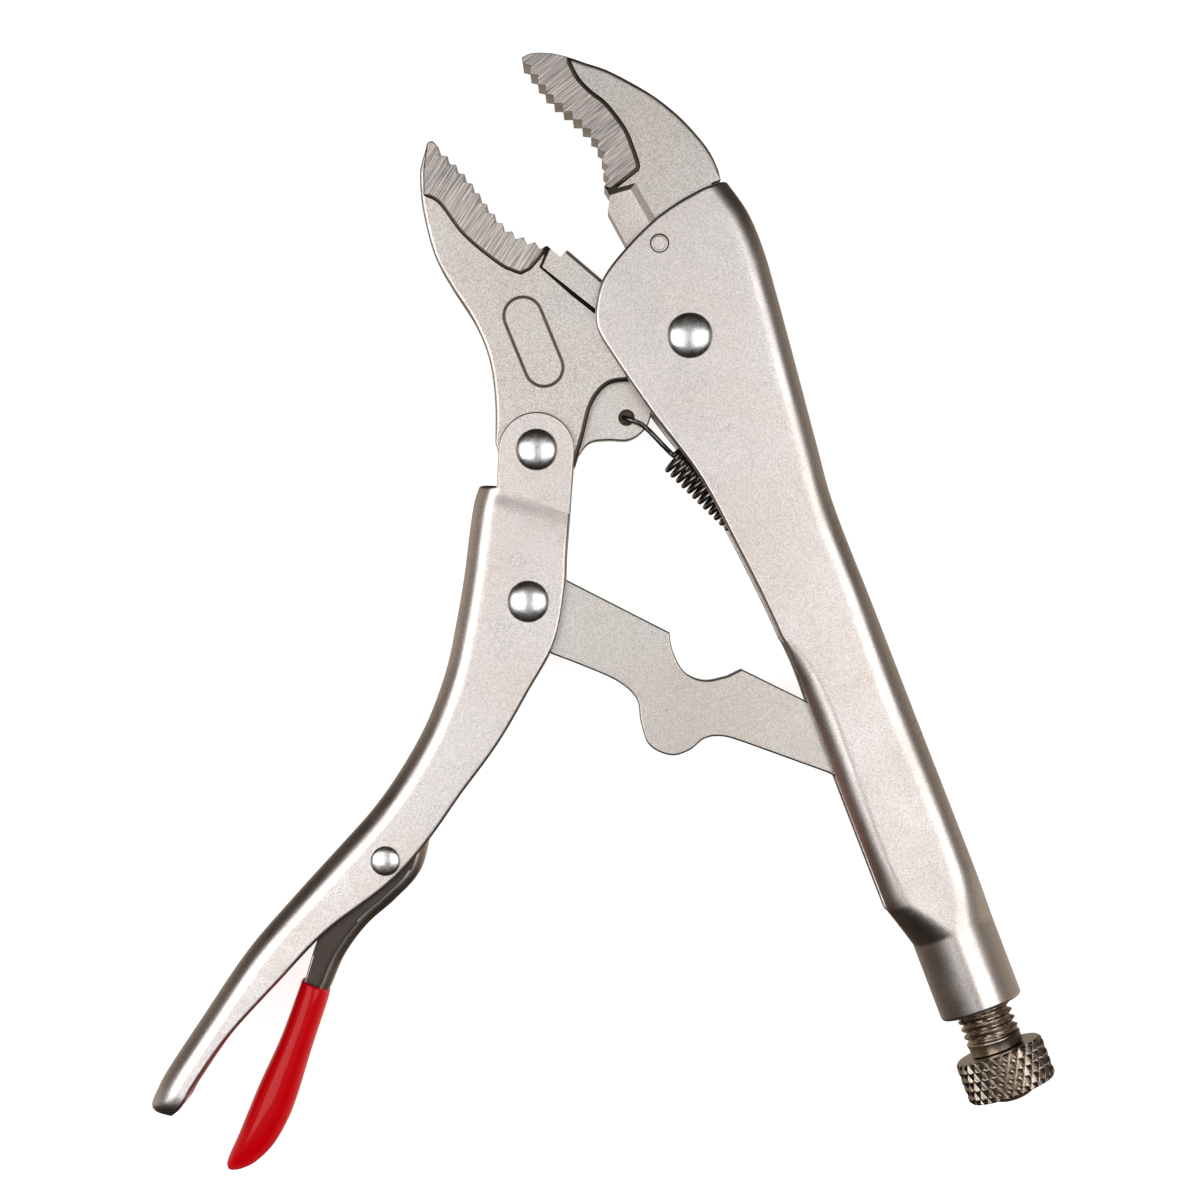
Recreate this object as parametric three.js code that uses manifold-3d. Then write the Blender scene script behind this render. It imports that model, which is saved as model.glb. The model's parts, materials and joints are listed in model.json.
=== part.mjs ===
// Locking pliers, 250 mm class, with curved jaws and a wire cutter, jaws open.
//
// The tool lies flat on its side. +Y runs along the adjusting screw towards the jaws, +X towards the back
// of the fixed handle, and +Z through the thickness. Every piece is symmetric about the mid-plane.
// The outlines are drawn about the main pivot; the whole model is then moved so that its origin is the
// middle of its lowest face. Lengths are in millimetres and angles in degrees.

import * as THREE from 'three';
import { mergeVertices } from 'three/addons/utils/BufferGeometryUtils.js';
import Module from 'manifold-3d';

const wasm = await Module();
wasm.setup();

// ---- Driving dimensions ----

const frameSheet = 2.6;         // sheet of the fixed handle
const handleSheet = 2.3;        // sheet of the moving handle
const leverSheet = 1.5;         // sheet of the release lever
const tubeEnd = 158;            // main pivot to the open end of the tube
const neckFromEnd = 23.8;       // open end of the tube back to where the channel has closed
const screwOffset = 7.7;        // screw axis from the main pivot, towards the back
const screwRadius = 6;          // M12 adjusting screw
const linkThickness = 8;
const linkTailRadius = 5.6;     // rounded tail that the screw pushes on
const tailFromEnd = 53.5;       // open end of the tube back to the centre of the link's tail
const rivetSpacing = 32.6;      // jaw rivet to link rivet, along the moving handle
const handleRest = -24.1;       // how far the moving handle is swung out with the jaws open
const closing = 21.2;           // how far the moving jaw turns to close
const hubRadius = 11.3;         // moving jaw's round hub about the main pivot
const groundProud = 0.4;        // ground tooth lands stand above the jaw's faces
const toothPitch = 2.8;
const toothDepth = 1.2;
const tabThickness = 6;         // moving jaw's spring tab
const tabHoleRadius = 1.8;
const frameBend = 4.8;          // outer radius of the fixed handle's bends
const knobRadius = 9.85;
const knobLength = 9.3;
const knobFromTube = 9.8;       // tube's end to the near face of the knob
const mainRivetRadius = 3.9;    // shanks of the rivets, and the pin
const handleRivetRadius = 3.3;
const leverRivetRadius = 2.1;
const retainingPinRadius = 1.85;
const mainHeadRadius = mainRivetRadius + 1;
const handleHeadRadius = handleRivetRadius + 1.2;
const leverHeadRadius = leverRivetRadius + 1.1;
const mainDome = 1.9;           // heights of the rivets' heads
const handleDome = 1.7;
const leverDome = 1.2;
const wireRadius = 0.55;        // return spring
const coilRadius = 3.6;
const coilOffset = 1.3;         // coil's axis beside the middle of the hole in the tab

// Clearances
const sideGap = 0.3;            // between a piece and the walls it sits or swings between
const shankGap = 0.25;          // round a rivet or a pin, on the radius
const headGap = 0.1;            // under a rivet's head
const boreGap = 0.5;            // round the screw in the fixed handle
const linkGap = 1.2;            // each side of the link in the moving handle
const slotGap = 1;              // each side of the link between the fixed handle's lips
const leverGap = 0.4;           // each side of the release lever in the moving handle
const cutterGap = 0.3;          // between the closed cutting edges
const hubGap = 0.4;             // round the moving jaw's hub
const tipGap = 5.2;             // link's tail to the screw's tip, which the motion of the linkage needs

// ---- Sizes that follow ----

const channelHalf = screwRadius + boreGap;                  // half the room between the fixed handle's walls
const frameHalf = channelHalf + frameSheet;                 // also the radius of the tube
const jawHalf = channelHalf - sideGap;
const earHalf = jawHalf + sideGap + handleSheet;            // moving handle at the jaw
const handleHalf = linkThickness / 2 + linkGap + handleSheet; // moving handle at the link
const leverHalf = handleHalf - handleSheet - leverGap;

const jawPivot = [-39.4, -11.1];                            // jaw rivet, jaws open
const linkPivot = turned([0, -rivetSpacing], handleRest, jawPivot);
const linkTail = [screwOffset - 0.7, tailFromEnd - tubeEnd];
const linkLength = Math.hypot(linkTail[0] - linkPivot[0], linkTail[1] - linkPivot[1]);
const linkRest = degrees(Math.atan2(linkTail[0] - linkPivot[0], linkPivot[1] - linkTail[1]));
const leverPivot = [-27.5, -89.9];                          // in the moving handle's own frame
const screwTip = linkTail[1] - linkTailRadius - tipGap;
const knobFace = -tubeEnd - knobFromTube;
const retainingPin = [1, 20.8];
const tabHole = [-18.8, -11.3];                             // spring's hole in the moving jaw
const springAnchor = [10.2, 86.2 - tubeEnd];                // spring's hole in the fixed handle

// ---- Helpers ----

function degrees(radians) {
  return THREE.MathUtils.radToDeg(radians);
}

function turned([x, y], angle, [originX, originY] = [0, 0]) {
  const a = THREE.MathUtils.degToRad(angle);
  return [
    originX + x * Math.cos(a) - y * Math.sin(a),
    originY + x * Math.sin(a) + y * Math.cos(a),
  ];
}

// Points of an arc about a centre, from one angle to another.
function arc([x, y], radius, from, to, step = 12) {
  const count = Math.max(2, Math.ceil(Math.abs(to - from) / step));
  return Array.from({ length: count + 1 }, (_, i) => turned([radius, 0], from + ((to - from) * i) / count, [x, y]));
}

// A smooth curve through points, with a few steps between each two.
function curve(points, steps = 3) {
  const spline = new THREE.SplineCurve(points.map(([x, y]) => new THREE.Vector2(x, y)));
  return spline.getPoints((points.length - 1) * steps).map((p) => [p.x, p.y]);
}

// Pointed teeth along a curve through their tips. They are cut to the left of its direction.
function teeth(tips, pitch, depth) {
  const line = new THREE.SplineCurve(tips.map(([x, y]) => new THREE.Vector2(x, y)));
  const count = Math.round(line.getLength() / pitch);
  const points = [];
  for (let i = 0; i <= count; i += 1) {
    const tip = line.getPointAt(i / count);
    points.push([tip.x, tip.y]);
    if (i < count) {
      const middle = (i + 0.5) / count;
      const root = line.getPointAt(middle);
      const along = line.getTangentAt(middle);
      points.push([root.x - along.y * depth, root.y + along.x * depth]);
    }
  }
  return points;
}

// Smooth value at a station, from a list of [station, value] in falling order of station.
function valueAt(list, station) {
  const last = list.length - 1;
  if (station >= list[0][0]) return list[0][1];
  if (station <= list[last][0]) return list[last][1];
  let i = 0;
  while (list[i + 1][0] > station) i += 1;
  const slope = (a, b) => (list[b][1] - list[a][1]) / (list[b][0] - list[a][0]);
  const span = list[i + 1][0] - list[i][0];
  const t = (station - list[i][0]) / span;
  const startSlope = slope(Math.max(i - 1, 0), i + 1) * span;
  const endSlope = slope(i, Math.min(i + 2, last)) * span;
  return (2 * t ** 3 - 3 * t ** 2 + 1) * list[i][1] + (t ** 3 - 2 * t ** 2 + t) * startSlope
    + (3 * t ** 2 - 2 * t ** 3) * list[i + 1][1] + (t ** 3 - t ** 2) * endSlope;
}

function toManifold(geometry) {
  const source = geometry.index ? geometry.toNonIndexed() : geometry.clone();
  source.deleteAttribute('normal');
  source.deleteAttribute('uv');
  const merged = mergeVertices(source, 1e-5);
  return new wasm.Manifold(new wasm.Mesh({
    numProp: 3,
    vertProperties: new Float32Array(merged.attributes.position.array),
    triVerts: new Uint32Array(merged.index.array),
  }));
}

function toGeometry(manifold) {
  const mesh = manifold.getMesh();
  const geometry = new THREE.BufferGeometry();
  geometry.setAttribute('position', new THREE.BufferAttribute(mesh.vertProperties, 3));
  geometry.setIndex(new THREE.BufferAttribute(mesh.triVerts, 1));
  geometry.computeVertexNormals();
  return geometry;
}

function join(first, ...others) {
  return toGeometry(others.reduce((sum, part) => sum.add(toManifold(part)), toManifold(first)));
}

function cut(first, ...others) {
  return toGeometry(others.reduce((rest, tool) => rest.subtract(toManifold(tool)), toManifold(first)));
}

// A flat outline as a plate between two heights.
function plate(points, low, high) {
  const shape = new THREE.Shape(points.map(([x, y]) => new THREE.Vector2(x, y)));
  const geometry = new THREE.ExtrudeGeometry(shape, { depth: high - low, bevelEnabled: false });
  return geometry.translate(0, 0, low);
}

function slab(points, half) {
  return plate(points, -half, half);
}

// A round tool or bar through the thickness.
function drill([x, y], radius, half = 20) {
  return slab(arc([x, y], radius, 0, 360, 15).slice(0, -1), half);
}

// A skin over closed rings that all have the same number of points; its ends are flat caps.
function loft(rings) {
  const count = rings[0].length;
  const positions = rings.flat().flatMap((p) => [p.x, p.y, p.z]);
  const index = [];
  for (let i = 0; i < rings.length - 1; i += 1) {
    for (let j = 0; j < count; j += 1) {
      const a = i * count + j;
      const b = i * count + ((j + 1) % count);
      index.push(a, b, a + count, b, b + count, a + count);
    }
  }
  for (const [ring, start] of [[rings[0], 0], [rings.at(-1), (rings.length - 1) * count]]) {
    const flat = ring.map((p) => new THREE.Vector2(p.flatX, p.flatY));
    const reversed = (start === 0) !== THREE.ShapeUtils.isClockWise(flat);
    for (const [a, b, c] of THREE.ShapeUtils.triangulateShape(flat, [])) {
      if (reversed) index.push(start + a, start + c, start + b);
      else index.push(start + a, start + b, start + c);
    }
  }
  const geometry = new THREE.BufferGeometry();
  geometry.setAttribute('position', new THREE.Float32BufferAttribute(positions, 3));
  geometry.setIndex(index);
  return outward(geometry);
}

// Turns a closed mesh the right way out.
function outward(geometry) {
  const p = geometry.attributes.position;
  const index = geometry.index.array;
  const [a, b, c] = [new THREE.Vector3(), new THREE.Vector3(), new THREE.Vector3()];
  let volume = 0;
  for (let i = 0; i < index.length; i += 3) {
    a.fromBufferAttribute(p, index[i]);
    b.fromBufferAttribute(p, index[i + 1]);
    c.fromBufferAttribute(p, index[i + 2]);
    volume += a.dot(b.cross(c));
  }
  if (volume < 0) {
    for (let i = 0; i < index.length; i += 3) [index[i + 1], index[i + 2]] = [index[i + 2], index[i + 1]];
  }
  return geometry;
}

// Section of a folded sheet: a spine, two bends, two walls, and lips that curl back in until their ends
// stand at the height `slot`. `reach` runs from the spine to the open edge, and `height` is across it.
function foldedSection({ depth, half, sheet, bend, lip = 3, slot = half - sheet / 2, wallSteps = 3 }) {
  const middle = half - sheet / 2;
  const bendRadius = bend - sheet / 2;
  const lipRadius = lip - sheet / 2;
  const drop = middle - slot;
  const lipTurn = Math.acos(Math.max(0, 1 - drop / lipRadius));
  const lipStart = depth - (lipRadius + sheet / 2) * Math.sin(lipTurn);
  const wallStart = sheet / 2 + bendRadius;
  const wallLength = lipStart - wallStart;
  const lipLength = lipTurn * lipRadius;
  const tailLength = Math.max(0, drop - lipRadius);
  const path = [{ reach: sheet / 2, height: 0, turn: Math.PI / 2 }];
  const bendSteps = 4;
  for (let i = 0; i <= bendSteps; i += 1) {
    const turn = (Math.PI / 2) * (1 - i / bendSteps);
    path.push({
      reach: wallStart - bendRadius * Math.sin(turn),
      height: middle - bendRadius + bendRadius * Math.cos(turn),
      turn,
    });
  }
  const total = wallLength + lipLength + tailLength;
  for (let i = 1; i <= wallSteps; i += 1) {
    const run = (total * i) / wallSteps;
    if (run <= wallLength) {
      path.push({ reach: wallStart + run, height: middle, turn: 0 });
    } else {
      const turn = Math.min((run - wallLength) / lipRadius, lipTurn);
      const past = Math.max(0, run - wallLength - lipLength);
      path.push({
        reach: lipStart + lipRadius * Math.sin(turn),
        height: middle - lipRadius * (1 - Math.cos(turn)) - past,
        turn: -turn,
      });
    }
  }
  const side = (sign, offset) => path.map(({ reach, height, turn }) => ({
    reach: reach - offset * Math.sin(turn),
    height: sign * (height + offset * Math.cos(turn)),
  }));
  const around = (offset) => [...side(-1, offset).reverse(), ...side(1, offset).slice(1)];
  return [...around(sheet / 2), ...around(-sheet / 2).reverse()];
}

// A folded sheet along stations, each with its spine point, its edge point and its section's sizes.
function channel(stations, sheet, wallSteps) {
  return loft(stations.map((station) => {
    const [spineX, spineY] = station.spine;
    const [edgeX, edgeY] = station.edge;
    const depth = Math.hypot(edgeX - spineX, edgeY - spineY);
    return foldedSection({ ...station, depth, sheet, wallSteps }).map(({ reach, height }) => {
      const point = new THREE.Vector3(
        spineX + ((edgeX - spineX) * reach) / depth,
        spineY + ((edgeY - spineY) * reach) / depth,
        height,
      );
      point.flatX = reach;
      point.flatY = height;
      return point;
    });
  }));
}

// A bar of rounded rectangular section along stations of [left point, right point, half thickness].
function bar(stations, round) {
  return loft(stations.map(([left, right, half]) => {
    const width = Math.hypot(right[0] - left[0], right[1] - left[1]);
    const corner = Math.min(round, width * 0.45, half * 0.9);
    const ring = [[width - corner, half - corner, 0], [corner, half - corner, 90],
      [corner, corner - half, 180], [width - corner, corner - half, 270]]
      .flatMap(([reach, height, from]) => arc([reach, height], corner, from, from + 90, 30));
    return ring.map(([reach, height]) => {
      const point = new THREE.Vector3(
        left[0] + ((right[0] - left[0]) * reach) / width,
        left[1] + ((right[1] - left[1]) * reach) / width,
        height,
      );
      point.flatX = reach;
      point.flatY = height;
      return point;
    });
  }));
}

// A turned piece along +Z from a profile of [radius, height].
function turnedPiece(profile, sides = 24) {
  const points = profile.map(([radius, height]) => new THREE.Vector2(radius, height));
  return new THREE.LatheGeometry(points, sides).rotateX(Math.PI / 2);
}

// A rivet or pin through the thickness with a domed head on each side.
function rivet(shank, head, dome, grip) {
  const rim = 0.35;
  const cap = [0, 0.25, 0.5, 0.75, 1].map((t) => {
    const a = (t * Math.PI) / 2;
    return [head * Math.cos(a), grip + rim + (dome - rim) * Math.sin(a)];
  });
  cap[cap.length - 1][0] = 0;
  const upper = [[shank, grip], [head, grip], ...cap];
  const lower = upper.map(([radius, height]) => [radius, -height]).reverse();
  return turnedPiece([...lower, ...upper]);
}

// A round wire along points.
function wire(points, radius, steps) {
  const path = new THREE.CatmullRomCurve3(points.map((p) => new THREE.Vector3(...p)));
  const section = new THREE.Shape(arc([0, 0], radius, 0, 360, 60).slice(0, -1).map(([x, y]) => new THREE.Vector2(x, y)));
  return new THREE.ExtrudeGeometry(section, { steps, extrudePath: path, bevelEnabled: false });
}

const nickel = () => new THREE.MeshStandardMaterial({ color: 0xc9c8c4, metalness: 0.9, roughness: 0.42 });
const groundSteel = () => new THREE.MeshStandardMaterial({ color: 0xa6a49f, metalness: 0.95, roughness: 0.38 });
const chrome = () => new THREE.MeshStandardMaterial({ color: 0xd8d8d8, metalness: 1, roughness: 0.12 });
const darkNickel = () => new THREE.MeshStandardMaterial({ color: 0x9a938a, metalness: 0.95, roughness: 0.32 });
const springSteel = () => new THREE.MeshStandardMaterial({ color: 0x55524d, metalness: 0.9, roughness: 0.4 });
const redVinyl = () => new THREE.MeshStandardMaterial({ color: 0xcc000f, metalness: 0, roughness: 0.25 });

function mesh(name, geometry, material) {
  const result = new THREE.Mesh(geometry, material);
  result.name = name;
  return result;
}

// ---- Fixed handle: an open channel at the nose, closing to a C and then to a slit tube ----

const spineLine = [[28.6, 19.4], [20.6, 21.4], [12.3, 21.7], [3, 21], [-15.7, 19.1], [-30.7, 17.5],
  [-44.4, 16.2], [-70, screwOffset + frameHalf - 0.4], [-105.5, screwOffset + frameHalf - 0.2],
  [neckFromEnd - tubeEnd, screwOffset + frameHalf]];
const edgeLine = [[28.6, 14], [28, 9.3], [26.3, 2.4], [22.3, -6.5], [18.1, -13], [12.3, -17], [8.3, -18.1],
  [1.4, -16.9], [-12.5, -13.5], [-28.9, -8.8], [-44, -6.8], [-61, -5.1], [-74, -4.5], [-84, -4.6],
  [neckFromEnd - tubeEnd + 3.6, -4.5], [neckFromEnd - tubeEnd + 2, -3.9], [neckFromEnd - tubeEnd - 2, -2.6],
  [neckFromEnd - tubeEnd - 6, screwOffset - frameHalf]];
const linkSlot = linkThickness / 2 + slotGap;

function fixedHandle() {
  const neck = neckFromEnd - tubeEnd;
  const lipStart = -68;
  const lipDone = -86;
  const straight = frameHalf - frameSheet / 2;
  const slotLine = [[lipStart, straight], [lipDone, linkSlot], [neck + 6, linkSlot], [neck - 6, 0.25]];
  const roundness = [[-62, frameBend], [lipDone, 5.6], [neck + 6, 5.6], [neck - 6, frameHalf - 0.2]];
  const lipLine = [[lipDone, 5], [neck + 6, 5], [neck - 6, frameHalf - 0.2]];
  const levels = [28.6, 28.3, 27.9, 27.2, 26.2, 24.5, 22.4, 20, 17.8, 15, 12, 9, 6, 3, -1, -6, -12.5, -20, -28.9,
    -37, -44.4, -52, -61, lipStart, -73, -78, lipDone, -100, neck + 6, neck + 3.6, neck + 1, neck - 1, neck - 3,
    neck - 4.5, neck - 6, -tubeEnd];
  const stations = levels.map((y) => ({
    spine: [valueAt(spineLine, y), y],
    edge: [valueAt(edgeLine, y), y],
    half: frameHalf,
    bend: valueAt(roundness, y),
    lip: valueAt(lipLine, y),
    slot: Math.min(straight, valueAt(slotLine, y)),
  }));
  const body = channel(stations, frameSheet, 7);
  const [hookX, hookY] = springAnchor;
  const spineThere = valueAt(spineLine, hookY) - frameSheet / 2;
  const hookHalf = 1.2;
  const hookHole = wireRadius + 0.75;
  const hook = slab([[spineThere, hookY + 5], [hookX - 1, hookY + 2.2], [hookX - 2.2, hookY],
    [hookX - 1, hookY - 2.2], [spineThere, hookY - 5]], hookHalf);
  return cut(
    join(body, hook),
    drill([0, 0], mainRivetRadius + shankGap),
    drill(retainingPin, retainingPinRadius + shankGap),
    drill(springAnchor, hookHole, 2 * hookHalf),
  );
}

// ---- Jaws ----

// Cutting edge of the fixed jaw, which the moving jaw's edge meets when closed.
const cutterTop = [-6.7, 31.7];
const cutterHeel = [-4.2, 12.4];

// The jaw's square back edges stay clear of the inside of the channel's bends.
function spineInside(y) {
  const inside = frameBend - frameSheet;
  const bendGap = inside - Math.sqrt(inside ** 2 - Math.max(0, inside - sideGap) ** 2);
  return valueAt(spineLine, y) - frameSheet - bendGap - sideGap;
}

function fixedJaw() {
  const socket = hubRadius + hubGap;
  const mouth = Math.sqrt(socket ** 2 - cutterHeel[0] ** 2);
  const socketStart = degrees(Math.atan2(mouth, cutterHeel[0]));
  const bottom = -3;
  const socketEnd = degrees(Math.asin(bottom / socket));
  const shoulder = 29.1;
  const tips = [[-12.6, 67.6], [-11.4, 63.4], [-9.8, 58.2], [-6.6, 52.2], [-4.6, 47.6], [-4.1, 42.6], [-5.6, 36.8]];
  const toothLine = teeth(tips, toothPitch, toothDepth);
  const outer = curve([[18.6, shoulder + 2.6], [17.3, 39.2], [13.2, 48], [6.2, 57.3], [-1.4, 64.4], [-7.2, 68.2]]);
  const body = slab([
    ...toothLine,
    [-5.2, 34.4],
    cutterTop,
    cutterHeel,
    ...arc([0, 0], socket, socketStart, socketEnd),
    [spineInside(bottom), bottom],
    ...[3, 9, 15, 21, 28.6].map((y) => [spineInside(y), y]),
    [spineInside(28.6), shoulder],
    [18.3, shoulder],
    ...outer,
    ...arc([-10.8, 67.6], 1.8, 60, 150, 30),
  ], jawHalf);
  const land = slab([
    ...toothLine,
    [-5, 36.2],
    [3.7, 38.4],
    ...curve([[3.7, 42.4], [1.3, 53.6], [-2.2, 61], [-2.7, 65.2]]),
    [-7.2, 68],
    ...arc([-10.8, 67.4], 1.7, 60, 150, 30),
  ], jawHalf + groundProud);
  return cut(join(body, land), drill(retainingPin, retainingPinRadius + shankGap));
}

function movingJaw() {
  const edgeTop = turned([cutterTop[0] - cutterGap, cutterTop[1]], closing);
  const edgeLineX = cutterHeel[0] - cutterGap;
  const edgeHeel = turned([edgeLineX, cutterHeel[1]], closing);
  const edgeRoot = [edgeLineX, Math.sqrt(hubRadius ** 2 - edgeLineX ** 2)];
  const rootAngle = degrees(Math.atan2(edgeRoot[1], edgeRoot[0])) + closing;
  const tips = [[-21.6, 29.2], [-24.1, 31.1], [-28, 35.4], [-30.2, 41], [-31.6, 46.4], [-33.3, 51.4], [-35.9, 57.3]];
  const toothLine = teeth([...tips].reverse(), toothPitch, -toothDepth).reverse();
  const outer = curve([[-38.6, 58.2], [-41.6, 53.6], [-43.9, 45.9], [-45, 36], [-44, 28.2], [-42.2, 19.5],
    [-42, 11], [-43.9, 2.4], [-47.2, -6.5]]);
  const heel = 8;
  const body = slab([
    ...toothLine,
    ...arc([-37.3, 58.1], 1.1, 40, 130, 30),
    ...outer,
    ...arc(jawPivot, heel, 175, 300),
    ...curve([[-33, -17.2], [-29, -12], [-24.6, -6], [-20, -3.4], [-15.6, -4.2]]),
    ...arc([0, 0], hubRadius, 205, 360 + rootAngle),
    edgeHeel,
    edgeTop,
    [-19.8, 26],
  ], jawHalf);
  const land = slab([
    ...toothLine,
    ...arc([-37.3, 57.9], 1, 40, 130, 30),
    ...curve([[-38.4, 58], [-40.6, 54], [-42.6, 48.8]]),
    ...curve([[-40.2, 45.7], [-37.8, 37.6], [-33.1, 29.3], [-29.1, 25.3]]),
    ...curve([[-26.8, 25.5], [-24, 27], [-21.8, 28.4]]),
  ], jawHalf + groundProud);
  const tab = slab([
    [-10, -3],
    ...curve([[-10.6, -7], [-13.4, -12.4], [-16, -15], [-20, -16], [-24.5, -14.3], [-28.5, -13.6], [-32.6, -16.2]]),
    [-31, -10],
    [-24, -2],
  ], tabThickness / 2);
  return cut(
    join(body, land, tab),
    drill([0, 0], mainRivetRadius + shankGap),
    drill(jawPivot, handleRivetRadius + shankGap),
    drill(tabHole, tabHoleRadius),
  );
}

// ---- Moving handle, in its own frame: jaw rivet at 0, 0 and link rivet straight below ----

function movingHandle() {
  const stations = [
    [[-11.8, -8.2], [7.9, -8.2], earHalf],
    [[-12.2, -9.2], [7.9, -12], earHalf],
    [[-13, -12.6], [7.8, -16.5], handleHalf + 0.1],
    [[-13.6, -19], [7.7, -22], handleHalf],
    [[-14.2, -28], [7.7, -30], handleHalf],
    [[-15.4, -38.5], [6.1, -41.2], handleHalf],
    [[-17, -48.5], [0.8, -52.4], handleHalf],
    [[-20.3, -59.4], [-5, -63.8], handleHalf],
    [[-25, -69.4], [-12.4, -75.2], handleHalf],
    [[-30.8, -78.8], [-18.8, -85.4], handleHalf],
    [[-37.6, -87.4], [-26.6, -95], handleHalf],
    [[-47.6, -99.7], [-39.4, -106], handleHalf],
    [[-56.5, -111.4], [-48.8, -117], handleHalf],
    [[-65.3, -126.1], [-59.2, -129.8], handleHalf],
    [[-72, -138], [-67.2, -140.6], handleHalf],
    [[-74.4, -143.4], [-70.6, -144.6], handleHalf],
    [[-75, -146.6], [-71.9, -147.4], handleHalf - 1.2],
  ].map(([spine, edge, half]) => ({
    spine,
    edge,
    half,
    bend: Math.min(4.5, Math.hypot(edge[0] - spine[0], edge[1] - spine[1]) - 0.4),
  }));
  const body = channel(stations, handleSheet, 2);
  const earRadius = 8.1;
  const ear = [[-earRadius, -8.6], [earRadius - 0.2, -8.6], ...arc([0, 0], earRadius, 0, 180)];
  return cut(
    join(body, plate(ear, earHalf - handleSheet, earHalf), plate(ear, -earHalf, handleSheet - earHalf)),
    drill([0, 0], handleRivetRadius + shankGap),
    drill([0, -rivetSpacing], handleRivetRadius + shankGap),
    drill(leverPivot, leverRivetRadius + shankGap),
  );
}

// ---- Toggle link, in its own frame: link rivet at 0, 0 and the tail straight below ----

function toggleLink() {
  const shoulder = 7.9;
  const tail = -linkLength;
  const points = [
    ...arc([0, 0], shoulder, 0, 180),
    ...curve([[-8, -9.6], [-7.4, -16.2], [-7.1, -24.8], [-8.8, -30.2], [-13, -33.3], [-16.5, -37], [-16.5, -42],
      [-13.8, -45.2], [-9.9, -47.2], [-7.8, -50.6], [-7, -55.4]]),
    [-5, tail + 13],
    ...arc([0, tail], linkTailRadius, 185, 358),
    [6.9, tail + 24],
    [7, -47.8],
    ...curve([[4.3, -45.7], [1.3, -41.6], [1.1, -36.8], [4.2, -32.5], [7.3, -30.3]]),
  ];
  return cut(slab(points, linkThickness / 2), drill([0, 0], handleRivetRadius + shankGap));
}

// ---- Release lever and its grip, in the moving handle's frame, about the lever's rivet ----

const aboutLever = ([x, y]) => [x - leverPivot[0], y - leverPivot[1]];

function releaseLever() {
  const stations = [
    [[-18.6, -73.8], [-22.6, -74.6], 1],
    [[-17.9, -77], [-27, -80], 0],
    [[-18.6, -84.4], [-31, -87], 0],
    [[-20.3, -92.2], [-34, -90], 0],
    [[-25.2, -98.4], [-35.6, -94.5], 0],
    [[-31, -104.2], [-38.6, -101.2], 0],
    [[-35.6, -111.2], [-41.6, -108.8], 0],
    [[-38.2, -118], [-43.4, -116], 0.2],
    [[-39.6, -121], [-44, -119.4], 0.4],
  ].map(([spine, edge, less]) => ({
    spine: aboutLever(spine),
    edge: aboutLever(edge),
    half: leverHalf - less,
    bend: 3,
  }));
  const tail = bar([
    [[-43.6, -119.2], [-40, -120.6], leverHalf - 0.6],
    [[-47.6, -129.2], [-43.2, -130.8], leverHalf - 0.6],
    [[-51.4, -138.4], [-47, -140.2], leverHalf - 0.6],
    [[-55.6, -149.4], [-52, -151], leverHalf - 1],
  ].map(([left, right, half]) => [aboutLever(left), aboutLever(right), half]), 1);
  return cut(join(channel(stations, leverSheet, 2), tail), drill([0, 0], leverRivetRadius + shankGap));
}

function leverGrip() {
  const skin = bar([
    [[-44.3, -117.6], [-38.3, -120], 6],
    [[-45, -119.4], [-38.7, -121.8], 6.5],
    [[-48.9, -130.1], [-41.9, -132.3], 6.5],
    [[-53, -140.2], [-45.9, -142.8], 6.5],
    [[-56.6, -150], [-49.6, -152], 6.2],
    [[-58.4, -156.2], [-53.6, -156.6], 5],
    [[-58, -158.4], [-56.2, -158.5], 3],
  ].map(([left, right, half]) => [aboutLever(left), aboutLever(right), half]), 2.6);
  const pocket = bar([
    [[-43.3, -115.8], [-38.3, -117.8], leverHalf + 0.1],
    [[-44.8, -119.2], [-39.2, -121.4], leverHalf + 0.1],
    [[-48, -129], [-42.8, -130.9], leverHalf + 0.1],
    [[-52.2, -139.6], [-46.6, -141.8], leverHalf + 0.1],
    [[-56, -149.6], [-51.6, -151.6], leverHalf - 0.4],
  ].map(([left, right, half]) => [aboutLever(left), aboutLever(right), half]), 1);
  return cut(skin, pocket);
}

// ---- Return spring: a closed coil body between two hooks ----

function returnSpring() {
  const [toX, toY] = springAnchor;
  const [holeX, holeY] = tabHole;
  const gap = Math.hypot(toX - holeX, toY - holeY);
  const fromX = holeX + (coilOffset * (holeY - toY)) / gap;
  const fromY = holeY + (coilOffset * (toX - holeX)) / gap;
  const length = Math.hypot(toX - fromX, toY - fromY);
  const along = (d, height) => [fromX + ((toX - fromX) * d) / length, fromY + ((toY - fromY) * d) / length, height];
  const coilStart = 13;
  const coilEnd = length - 13;
  const wireHeight = coilRadius - wireRadius;
  const tabTop = tabThickness / 2 + wireRadius + 0.15;
  const coil = turnedPiece([[0, 0], [coilRadius, 0], [coilRadius, coilEnd - coilStart], [0, coilEnd - coilStart]], 16)
    .rotateX(Math.PI / 2)
    .rotateZ(Math.atan2(toX - fromX, fromY - toY))
    .translate(...along(coilStart, 0));
  const upperHook = wire([[holeX, holeY, -1.5], [holeX, holeY, 2], [holeX + 0.5, holeY - 0.5, tabTop - 0.2],
    along(3, tabTop), along(8, tabTop), along(coilStart + 1.5, wireHeight - 0.6)], wireRadius, 14);
  const lowerHook = wire([along(coilEnd - 1.5, wireHeight - 0.6), along(length - 4, 2.1), along(length - 1, 1.9),
    along(length, 1.2), along(length, -1)], wireRadius, 12);
  return join(coil, upperHook, lowerHook);
}

// ---- Adjusting screw and knob, along -Y from the screw's tip ----

function alongScrew(profile, sides) {
  const points = profile.map(([radius, y]) => new THREE.Vector2(radius, y));
  return new THREE.LatheGeometry(points, sides).translate(screwOffset, 0, 0);
}

const spigotRadius = screwRadius - 0.8;

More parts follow.
